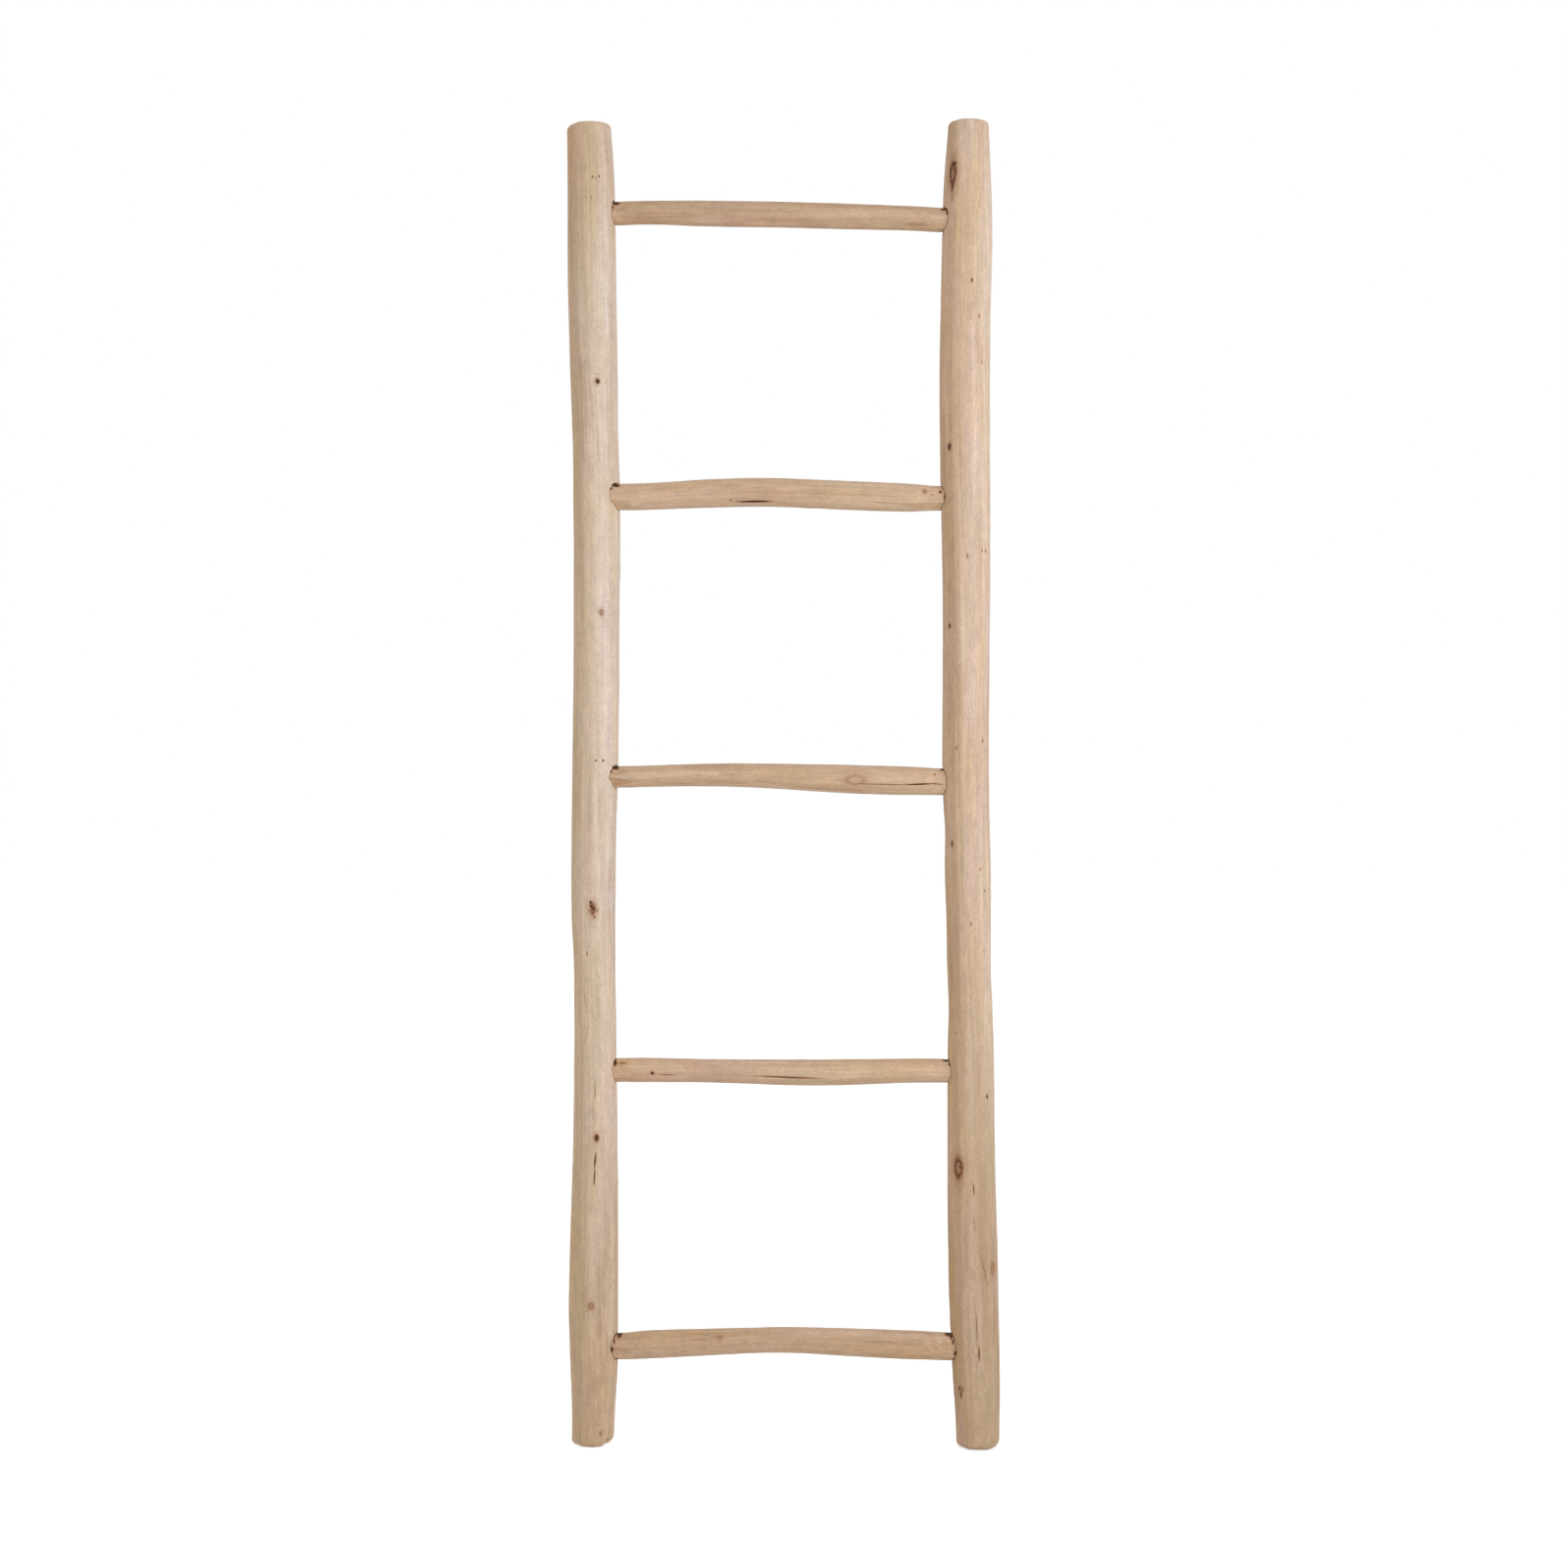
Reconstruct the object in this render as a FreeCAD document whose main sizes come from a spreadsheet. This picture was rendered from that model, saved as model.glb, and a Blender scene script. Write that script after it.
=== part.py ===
import FreeCAD
import Part

import os

import Sketcher

# A rustic blanket ladder that leans on a wall: two peeled and hand-shaved poles, the stiles,
# with five round rungs between them. Each rung ends in whittled tenons that sit in blind
# mortises, and a wooden peg driven in from the back locks every tenon. The lower right peg
# comes through to the front.
#
# Millimetres. +Z is up, +X is to the right and +Y points to the back, as seen by someone who
# stands in front of the ladder. The origin lies on the floor, in the middle between the feet.

Vector = FreeCAD.Vector

# --- driving dimensions ------------------------------------------------------------------

LADDER_SIZES = [
    ("stile_length", 1500, "length of both stiles"),
    ("stile_spacing", 426, "between the straight lines that the stiles wander about"),
    ("bottom_rung_height", 112, "floor to the bottom rung's left end"),
    ("top_rung_drop", 103, "top of the left stile down to the top rung's left end"),
    ("end_round", 3.5, "rounded edge at both ends of a stile"),
    ("mortise_wall", 12, "wood left behind a mortise, on the outer side of its stile"),
    ("joint_clearance", 0.15, "glue line between a tenon and its mortise"),
    ("tenon_end_gap", 0.8, "between a tenon's tip and the bottom of its mortise"),
    ("tenon_bevel", 1.5, "bevel round a tenon's tip"),
    ("whittle_depth", 1, "wood whittled off a rung's end to make the tenon"),
    ("whittle_length", 6, "length of the whittled slope, outside the stile"),
    ("peg_girth", 6.5, "diameter of the pegs"),
    ("peg_clearance", 0.05, "between a peg and its hole"),
    ("peg_front_wall", 3, "wood left in front of a blind peg hole"),
    ("peg_tip_gap", 0.3, "between a peg's tip and the bottom of its blind hole"),
    ("peg_bevel", 0.8, "bevel round a blind peg's tip"),
]

# The stations of a stile, from its foot to its top. The first is the foot, then joints and
# the places halfway between two joints take turns, and the last is the top. Each row holds
# how far the pole bends to the right and to the back there, and its girth, the diameter.
STILE_STATIONS = {
    "left": [
        (-4, 2, 49),
        (-2.5, 1, 56.5),
        (-1.5, -1, 54),
        (-0.5, -2, 49.5),
        (-3, -1, 50.5),
        (-1, 1, 52.5),
        (0.5, 3, 53),
        (0.5, 3, 54),
        (-3, 1, 55),
        (-5, -1, 56),
        (-7.5, -2, 51),
    ],
    "right": [
        (7, -2, 51),
        (4, -1, 56),
        (1, 1, 56.5),
        (-0.5, 2, 53.5),
        (-3.5, 3, 51.5),
        (-6.5, 2, 53),
        (-6, 0, 54),
        (-7, -2, 57),
        (-7.5, -3, 57.5),
        (-5, -1, 56),
        (-4, 1, 47.5),
    ],
}

# A drawknife leaves long flats. These are the corners between them on a stile, in degrees
# anticlockwise from the right, as seen from above. The widest flat faces the front left.
STILE_CORNERS = [-165, -120, -100, -80, -60, -28, -8, 12, 32, 62, 84, 106, 128, 156, 175]

# A rung and its tenons are whittled to this many even sides, and a peg to fewer.
RUNG_SIDES = 12
PEG_SIDES = 8

# The rungs from the bottom to the top. Each has a nudge up from even spacing, the droop of
# its right end, and how far behind the stile's middle its left and right joints sit.
RUNG_PLACES = [
    (0, -1.5, -3, -1),
    (-8.2, 0, 0, 0),
    (3.5, 5.5, -7, 0),
    (0, 3, -7, 0),
    (1, 9.5, 0, -1.5),
]

# The girths of each rung at rounds evenly spaced from its left shoulder to its right one, and
# how far the rounds between its shoulders rise above the straight line from end to end.
RUNG_GIRTHS = [
    [32, 32, 30, 29.5, 31.5, 33, 33],
    [28, 27.5, 27.5, 29.5, 30, 28.5, 28],
    [25.5, 25, 27, 29, 32, 33, 31.5],
    [31, 31.5, 33, 33, 33, 33, 29.5],
    [28, 28, 30, 29.5, 29.5, 28.5, 28.5],
]
RUNG_RISES = [
    [3, 5.5, 7, 5, 2.5],
    [0, -1, -2, -2, -0.5],
    [2.5, 4, 3.5, 2, 1],
    [2.5, 5.5, 6, 4, 2],
    [2, 2, 2.5, 2, 1.5],
]

# A softened rim is two bevels that meet on the quarter circle they stand for, this share of
# its radius in from the sides. Past them the cut slopes out of the wood over a few radii.
BEVEL_SHARE = 0.29
RUN_OUT = 4

SIDES = ["left", "right"]
THROUGH_PEG = ("right", 0)

# --- document and spreadsheet ------------------------------------------------------------

document = FreeCAD.newDocument("blanket_ladder")
sheet = document.addObject("Spreadsheet::Sheet", "sizes")
rows_in_use = 0


def keep_size(alias, value, note):
    """Write one driving dimension into the next row of the sheet."""
    global rows_in_use
    rows_in_use += 1
    sheet.set(f"A{rows_in_use}", note)
    sheet.set(f"B{rows_in_use}", str(value))
    sheet.setAlias(f"B{rows_in_use}", alias)


def fill_sheet():
    for alias, value, note in LADDER_SIZES:
        keep_size(alias, value, note)
    for number, corner in enumerate(STILE_CORNERS):
        keep_size(f"corner_{number}", corner, "degrees from the right")
    for side, stations in STILE_STATIONS.items():
        for number, (bend, lean, girth) in enumerate(stations):
            keep_size(f"{side}_bend_{number}", bend, "bend to the right")
            keep_size(f"{side}_lean_{number}", lean, "bend to the back")
            keep_size(f"{side}_girth_{number}", girth, "diameter there")
    for rung, (nudge, droop, left_set, right_set) in enumerate(RUNG_PLACES):
        keep_size(f"nudge_{rung}", nudge, "rise above even spacing")
        keep_size(f"droop_{rung}", droop, "right end below left end")
        keep_size(f"left_set_{rung}", left_set, "left joint behind the stile's middle")
        keep_size(f"right_set_{rung}", right_set, "right joint behind the stile's middle")
    for rung, girths in enumerate(RUNG_GIRTHS):
        for number, girth in enumerate(girths):
            keep_size(f"rung_girth_{rung}_{number}", girth, "diameter there")
    for rung, rises in enumerate(RUNG_RISES):
        for number, rise in enumerate(rises, 1):
            keep_size(f"rise_{rung}_{number}", rise, "rise above the straight line")
    document.recompute()


# --- where things are, as expressions on the sheet ---------------------------------------


def size(alias):
    return f"sizes.{alias}"


def number_of(expression):
    """The present value of an expression, for the first drawing of a sketch."""
    return float(sheet.evalExpression(expression))


def joint_station(rung):
    """The station of a stile that lies at a rung's joint."""
    return 2 * rung + 1


def station(side, quantity, number):
    return size(f"{side}_{quantity}_{number}")


def joint_height(side, rung):
    """Height of a rung's end above the floor: even spacing, nudged, and drooping at the right."""
    gaps = len(RUNG_PLACES) - 1
    climb = f"({size('stile_length')} - {size('bottom_rung_height')} - {size('top_rung_drop')})"
    left = f"{size('bottom_rung_height')} + {climb} * {rung} / {gaps} + {size(f'nudge_{rung}')}"
    if side == "left":
        return f"({left})"
    return f"({left} - {size(f'droop_{rung}')})"


def station_height(side, number):
    """Foot, joints, the places halfway between them, and the top."""
    last = len(STILE_STATIONS[side]) - 1
    if number == 0:
        return "0"
    if number == last:
        return size("stile_length")
    if number % 2:
        return joint_height(side, number // 2)
    below = joint_height(side, number // 2 - 1)
    above = joint_height(side, number // 2)
    return f"({below} + {above}) / 2"


def stile_line(side):
    """The straight line that a stile wanders about, along X."""
    sign = "-" if side == "left" else ""
    return f"({sign}{size('stile_spacing')} / 2)"


def joint_x(side, rung):
    return f"({stile_line(side)} + {station(side, 'bend', joint_station(rung))})"


def joint_y(side, rung):
    return f"({station(side, 'lean', joint_station(rung))} + {size(f'{side}_set_{rung}')})"


def stile_girth_at(side, rung):
    return station(side, "girth", joint_station(rung))


def rung_end_girth(side, rung):
    last = len(RUNG_GIRTHS[rung]) - 1
    return size(f"rung_girth_{rung}_{0 if side == 'left' else last}")


def tenon_radius(side, rung):
    return f"({rung_end_girth(side, rung)} / 2 - {size('whittle_depth')})"


def mortise_depth(side, rung):
    """From the stile's inner face to the bottom of the mortise."""
    return f"({stile_girth_at(side, rung)} - {size('mortise_wall')})"


def shoulder_x(side, rung):
    """Where a rung's whittled slope begins, outside the stile's inner face."""
    reach = f"({stile_girth_at(side, rung)} / 2 + {size('whittle_length')})"
    sign = "+" if side == "left" else "-"
    return f"({joint_x(side, rung)} {sign} {reach})"


# --- drawing helpers ---------------------------------------------------------------------

# How a sketch lies on its plane: as drawn, or tipped half over so that it hangs down.
AS_DRAWN = FreeCAD.Rotation()
UPSIDE_DOWN = FreeCAD.Rotation(Vector(1, 0, 0), 180)


def new_body(name):
    body = document.addObject("PartDesign::Body", name)
    body.Label = name
    return body


def origin_plane(body, role):
    for feature in body.Origin.OriginFeatures:
        if feature.Role == role:
            return feature
    raise RuntimeError(f"{body.Label} has no {role}")


def placed_sketch(body, name, role, place, turn=AS_DRAWN):
    """A sketch on an origin plane, moved by three expressions along that plane's own axes."""
    sketch = body.newObject("Sketcher::SketchObject", name)
    sketch.AttachmentSupport = [(origin_plane(body, role), "")]
    sketch.MapMode = "FlatFace"
    sketch.AttachmentOffset = FreeCAD.Placement(Vector(), turn)
    for axis, expression in zip("xyz", place):
        sketch.setExpression(f"AttachmentOffset.Base.{axis}", expression)
    return sketch


def circle_sketch(body, name, role, place, girth):
    """A circle about the origin of its own sketch."""
    sketch = placed_sketch(body, name, role, place)
    radius = number_of(girth) / 2
    ring = sketch.addGeometry(Part.Circle(Vector(), Vector(0, 0, 1), radius))
    sketch.addConstraint(Sketcher.Constraint("Coincident", ring, 3, -1, 1))
    diameter = sketch.addConstraint(Sketcher.Constraint("Diameter", ring, 2 * radius))
    sketch.setExpression(f"Constraints[{diameter}]", girth)
    return sketch


def outline_sketch(body, name, role, place, corners, turn=AS_DRAWN):
    """A closed outline of straight lines, each corner bound to two expressions."""
    sketch = placed_sketch(body, name, role, place, turn)
    points = [Vector(number_of(across), number_of(up), 0) for across, up in corners]
    lines = []
    for start, end in zip(points, points[1:] + points[:1]):
        lines.append(sketch.addGeometry(Part.LineSegment(start, end)))
    for line, following in zip(lines, lines[1:] + lines[:1]):
        sketch.addConstraint(Sketcher.Constraint("Coincident", line, 2, following, 1))
    for line, point, corner in zip(lines, points, corners):
        for kind, value, expression in zip(["DistanceX", "DistanceY"], point, corner):
            bound = sketch.addConstraint(Sketcher.Constraint(kind, -1, 1, line, 1, value))
            sketch.setExpression(f"Constraints[{bound}]", expression)
    return sketch


def many_sided(body, name, role, place, girth, corners):
    """A round of a shaved pole: flat sides between corners that lie on a circle."""
    points = []
    for corner in corners:
        across = f"{girth} / 2 * cos(({corner}) * 1 deg)"
        up = f"{girth} / 2 * sin(({corner}) * 1 deg)"
        points.append((across, up))
    return outline_sketch(body, name, role, place, points)


def even_corners(sides):
    """Corners of a regular round, in degrees, with a corner at its top and bottom."""
    return [f"{side} * 360 / {sides}" for side in range(sides)]


def loft(body, name, sections, ruled=False):
    feature = body.newObject("PartDesign::AdditiveLoft", name)
    feature.Profile = sections[0]
    feature.Sections = sections[1:]
    feature.Ruled = ruled
    return feature


def turned_cut(body, name, outline, axis):
    """Cut a full turn of an outline about an axis of its own sketch."""
    groove = body.newObject("PartDesign::Groove", name)
    groove.Profile = outline
    groove.ReferenceAxis = (outline, [axis])
    groove.Angle = 360
    return groove


# --- the pieces --------------------------------------------------------------------------


def round_end(body, side, number, turn):
    """Soften the rim of a stile's end with two bevels, turned about the middle of that end."""
    height = station_height(side, number)
    place = [station(side, "bend", number), height, f"-{station(side, 'lean', number)}"]
    radius = f"{station(side, 'girth', number)} / 2"
    rounding = size("end_round")
    corners = [
        (f"{radius} - {rounding}", "0"),
        (f"{radius} - {rounding}", rounding),
        (f"{radius} + {rounding}", rounding),
        (f"{radius} + {rounding}", f"-{RUN_OUT} * {rounding}"),
        (radius, f"-{rounding}"),
        (f"{radius} - {BEVEL_SHARE} * {rounding}", f"-{BEVEL_SHARE} * {rounding}"),
    ]
    name = f"{side}_rim_{number}"
    outline = outline_sketch(body, f"{name}_outline", "XZ_Plane", place, corners, turn)
    turned_cut(body, name, outline, "V_Axis")


def cut_mortise(body, side, rung):
    """A blind round hole, bored along X from outside the stile's inner face."""
    number = joint_station(rung)
    back = "-" if side == "left" else "+"
    bottom = f"({stile_girth_at(side, rung)} / 2 - {size('mortise_wall')})"
    place = [
        joint_y(side, rung),
        joint_height(side, rung),
        f"{station(side, 'bend', number)} {back} {bottom}",
    ]
    bore = f"2 * ({tenon_radius(side, rung)} + {size('joint_clearance')})"
    name = f"{body.Label}_mortise_{rung}"
    auger = circle_sketch(body, f"{name}_auger", "YZ_Plane", place, bore)
    mortise = body.newObject("PartDesign::Pocket", name)
    mortise.Profile = auger
    mortise.Type = "ThroughAll"
    mortise.Reversed = side == "left"


def cut_peg_hole(body, side, rung):
    """A hole along Y for the peg: blind and drilled from the back, or right through."""
    girth = stile_girth_at(side, rung)
    number = joint_station(rung)
    lean = station(side, "lean", number)
    outside = f"{lean} + {girth} / 2 + {size('peg_girth')}"
    place = [station(side, "bend", number), joint_height(side, rung), f"-({outside})"]
    bore = f"{size('peg_girth')} + 2 * {size('peg_clearance')}"
    drill = circle_sketch(body, f"{body.Label}_drill_{rung}", "XZ_Plane", place, bore)
    hole = body.newObject("PartDesign::Pocket", f"{body.Label}_peg_hole_{rung}")
    hole.Profile = drill
    hole.Reversed = True
    if (side, rung) == THROUGH_PEG:
        hole.Type = "ThroughAll"
        return
    hole.Type = "Length"
    wood = f"{size('peg_front_wall')} - {size('peg_tip_gap')}"
    hole.setExpression("Length", f"{size('peg_girth')} + {girth} - ({wood})")


def make_stile(side):
    body = new_body(f"{side}_stile")
    body.setExpression("Placement.Base.x", stile_line(side))
    corners = [size(f"corner_{number}") for number in range(len(STILE_CORNERS))]
    rounds = []
    for number in range(len(STILE_STATIONS[side])):
        place = [
            station(side, "bend", number),
            station(side, "lean", number),
            station_height(side, number),
        ]
        girth = station(side, "girth", number)
        name = f"{side}_round_{number}"
        rounds.append(many_sided(body, name, "XY_Plane", place, girth, corners))
    loft(body, f"{side}_pole", rounds)
    round_end(body, side, 0, UPSIDE_DOWN)
    round_end(body, side, len(rounds) - 1, AS_DRAWN)
    for rung in range(len(RUNG_PLACES)):
        cut_mortise(body, side, rung)
        cut_peg_hole(body, side, rung)
    return body


def add_tenon(body, side, rung, shoulder):
    """The whittled slope at a rung's end and the tenon beyond it, from the rung's last round."""
    outward = "-" if side == "left" else "+"
    neck = size("whittle_length")
    tip = f"({neck} + {mortise_depth(side, rung)} - {size('tenon_end_gap')})"
    girth = f"(2 * {tenon_radius(side, rung)})"
    bevel = size("tenon_bevel")
    droop = "0" if side == "left" else f"-{size(f'droop_{rung}')}"
    name = f"{body.Label}_{side}_tenon"
    stages = [
        ("neck", neck, girth),
        ("end", f"({tip} - {bevel})", girth),
        ("tip", tip, f"({girth} - 2 * {bevel})"),
    ]
    rounds = [shoulder]
    for stage, reach, stage_girth in stages:
        place = [joint_y(side, rung), droop, f"{shoulder_x(side, rung)} {outward} {reach}"]
        corners = even_corners(RUNG_SIDES)
        section = many_sided(body, f"{name}_{stage}", "YZ_Plane", place, stage_girth, corners)
        rounds.append(section)
    loft(body, name, rounds, ruled=True)

    bore = f"{size('peg_girth')} + 2 * {size('peg_clearance')}"
    drill_place = [joint_x(side, rung), droop, f"-{joint_y(side, rung)}"]
    drill = circle_sketch(body, f"{body.Label}_{side}_drill", "XZ_Plane", drill_place, bore)
    hole = body.newObject("PartDesign::Pocket", f"{body.Label}_{side}_peg_hole")
    hole.Profile = drill
    hole.Type = "ThroughAll"
    hole.Midplane = True


def make_rung(rung):
    """A rung, drawn at the height of its left end, from shoulder to shoulder."""
    body = new_body(f"rung_{rung + 1}")
    body.setExpression("Placement.Base.z", joint_height("left", rung))
    last = len(RUNG_GIRTHS[rung]) - 1
    ends = {side: (shoulder_x(side, rung), joint_y(side, rung)) for side in SIDES}
    corners = even_corners(RUNG_SIDES)
    rounds = []
    for number in range(last + 1):
        share = f"{number} / {last}"
        left_x, left_y = ends["left"]
        right_x, right_y = ends["right"]
        along = f"{left_x} + ({right_x} - {left_x}) * {share}"
        back = f"{left_y} + ({right_y} - {left_y}) * {share}"
        rise = size(f"rise_{rung}_{number}") if 0 < number < last else "0"
        up = f"{rise} - {size(f'droop_{rung}')} * {share}"
        girth = size(f"rung_girth_{rung}_{number}")
        name = f"{body.Label}_round_{number}"
        rounds.append(many_sided(body, name, "YZ_Plane", [back, up, along], girth, corners))
    loft(body, f"{body.Label}_pole", rounds)
    add_tenon(body, "left", rung, rounds[0])
    add_tenon(body, "right", rung, rounds[-1])
    return body


def make_peg(side, rung):
    """A peg along Y, its head flush with the stile's back."""
    body = new_body(f"peg_{side}_{rung + 1}")
    girth = stile_girth_at(side, rung)
    body.setExpression("Placement.Base.x", joint_x(side, rung))
    body.setExpression("Placement.Base.y", station(side, "lean", joint_station(rung)))
    body.setExpression("Placement.Base.z", joint_height(side, rung))
    place = ["0", "0", f"-{girth} / 2"]
    corners = even_corners(PEG_SIDES)
    name = f"{body.Label}_head"
    head = many_sided(body, name, "XZ_Plane", place, size("peg_girth"), corners)
    shank = body.newObject("PartDesign::Pad", f"{body.Label}_shank")
    shank.Profile = head
    if (side, rung) == THROUGH_PEG:
        shank.setExpression("Length", girth)
        return body
    shank.setExpression("Length", f"{girth} - {size('peg_front_wall')}")
    document.recompute()

    tip = body.newObject("PartDesign::Chamfer", f"{body.Label}_tip")
    front = shank.Shape.BoundBox.YMin
    rims = []
    for number, edge in enumerate(shank.Shape.Edges, 1):
        if edge.BoundBox.YMax - front < 0.01:
            rims.append(f"Edge{number}")
    tip.Base = (shank, rims)
    tip.setExpression("Size", size("peg_bevel"))
    return body


# --- building, checking and writing ------------------------------------------------------


def check_document(bodies):
    """Stop on a failed feature, one that changed nothing, or a shape that isn't sound."""
    for item in document.Objects:
        if "Invalid" in item.State or "Error" in item.State:
            raise RuntimeError(f"{item.Label} failed: {item.State}")
    for body in bodies:
        features = [item for item in body.Group if item.isDerivedFrom("PartDesign::Feature")]
        for before, after in zip(features, features[1:]):
            if len(after.Shape.Faces) <= len(before.Shape.Faces):
                raise RuntimeError(f"{after.Label} changed nothing")
        shape = body.Shape
        if shape.isNull() or not shape.isValid() or len(shape.Solids) != 1:
            raise RuntimeError(f"{body.Label} isn't one sound solid")


def write_parts(bodies):
    os.makedirs("parts", exist_ok=True)
    for body in bodies:
        body.Shape.exportStep(f"parts/{body.Label}.step")
        box = body.Shape.BoundBox
        middle = ", ".join(f"{value:.1f}" for value in box.Center)
        extent = f"{box.XLength:.1f} x {box.YLength:.1f} x {box.ZLength:.1f}"
        print(f"{body.Label}: {extent} about ({middle}), {body.Shape.Volume / 1000:.1f} cm3")


fill_sheet()
pieces = [make_stile(side) for side in SIDES]
pieces += [make_rung(rung) for rung in range(len(RUNG_PLACES))]
pieces += [make_peg(side, rung) for side in SIDES for rung in range(len(RUNG_PLACES))]
document.recompute()
check_document(pieces)
write_parts(pieces)
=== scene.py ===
import math

import bpy
import numpy as np
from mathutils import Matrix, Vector
from mathutils.bvhtree import BVHTree


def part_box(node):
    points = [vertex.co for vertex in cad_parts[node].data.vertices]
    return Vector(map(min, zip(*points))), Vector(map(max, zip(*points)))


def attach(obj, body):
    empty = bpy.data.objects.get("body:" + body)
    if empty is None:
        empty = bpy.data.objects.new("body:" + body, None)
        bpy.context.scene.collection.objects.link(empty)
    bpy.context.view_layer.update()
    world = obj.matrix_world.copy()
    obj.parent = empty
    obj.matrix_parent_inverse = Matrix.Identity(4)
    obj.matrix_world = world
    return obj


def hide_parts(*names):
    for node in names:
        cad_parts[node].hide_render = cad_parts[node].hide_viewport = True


# The looks of a rustic blanket ladder: two hand-shaved poles and five rungs of raw, sanded
# wood. Each wooden piece is a fine skin read from its solid, with the finer shapes added:
# whittled ends, worn rims, knots and cracks. Metres, in the ladder's own frame.

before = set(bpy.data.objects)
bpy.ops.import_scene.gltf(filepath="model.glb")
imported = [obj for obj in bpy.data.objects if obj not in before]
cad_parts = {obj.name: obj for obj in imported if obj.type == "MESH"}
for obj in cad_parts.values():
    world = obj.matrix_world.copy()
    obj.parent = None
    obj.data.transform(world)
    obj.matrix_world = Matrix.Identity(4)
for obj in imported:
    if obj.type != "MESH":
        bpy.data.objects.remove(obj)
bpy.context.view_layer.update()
scene = bpy.context.scene

FULL_TURN = 2 * math.pi
MILLIMETRE = 0.001

# --- the photograph's view ---

PHOTO_SIZE = 1600
CAMERA_PLACE = Vector((0.0977, -3.1985, 0.75))
CAMERA_AIM = Vector((0.0008, 0, 0.75))
PICTURE_WIDTH = 1.779  # what the picture spans at the ladder's distance


def new_object(name, data):
    made = bpy.data.objects.new(name, data)
    scene.collection.objects.link(made)
    return made


def make_camera():
    data = bpy.data.cameras.new("camera")
    scene.camera = new_object("camera", data)
    sight = CAMERA_AIM - CAMERA_PLACE
    scene.camera.location = CAMERA_PLACE
    scene.camera.rotation_euler = sight.to_track_quat("-Z", "Y").to_euler()
    data.lens = data.sensor_width * sight.length / PICTURE_WIDTH


def photo_ray(pixel):
    """The direction from the camera to a pixel of the photograph."""
    sight = CAMERA_AIM - CAMERA_PLACE
    right = sight.cross(Vector((0, 0, 1))).normalized()
    up = right.cross(sight).normalized()
    across = (pixel[0] / PHOTO_SIZE - 0.5) * PICTURE_WIDTH
    rise = (0.5 - pixel[1] / PHOTO_SIZE) * PICTURE_WIDTH
    return (sight + right * across + up * rise).normalized()


# --- poles read from the solids ---

SHAPE_STEP = 0.002  # between the rounds that hold a pole's shape
READ_STEP = 0.008  # between the rounds that are read from a solid
RAY_START = 0.2  # from a pole's middle, outside everything
CENTRING_STEPS = 2  # towards the middle of a round that is read
CLEAR_CUT = 0.0003  # a whittled flat this deep shows as one
EDGE_SOFTNESS = 0.075  # radians over which the shaved corners are sanded round


def blurred(values, sigma, axis, wraps):
    """Values smoothed by a bell curve of that many steps along one axis."""
    reach = int(3 * sigma) + 1
    count = values.shape[axis]
    total = np.zeros_like(values)
    weight = 0
    for step in range(-reach, reach + 1):
        share = math.exp(-0.5 * (step / sigma) ** 2)
        index = np.arange(count) + step
        index = index % count if wraps else index.clip(0, count - 1)
        total += share * values.take(index, axis)
        weight += share
    return total / weight


def between(table, row, column, eased=False):
    """A table's values between its cells. The columns join up in a ring."""
    i, j = np.floor(row).astype(int), np.floor(column).astype(int)
    s, t = row - i, column - j
    if eased:
        s, t = s * s * (3 - 2 * s), t * t * (3 - 2 * t)
    j = j % table.shape[1]
    k = (j + 1) % table.shape[1]
    lower = table[i, j] * (1 - t) + table[i, k] * t
    upper = table[i + 1, j] * (1 - t) + table[i + 1, k] * t
    return lower * (1 - s) + upper * s


def resampled(places, known, table):
    """A table's columns at other places than the known ones of its rows."""
    return np.stack([np.interp(places, known, column) for column in table.T], -1)


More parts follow.
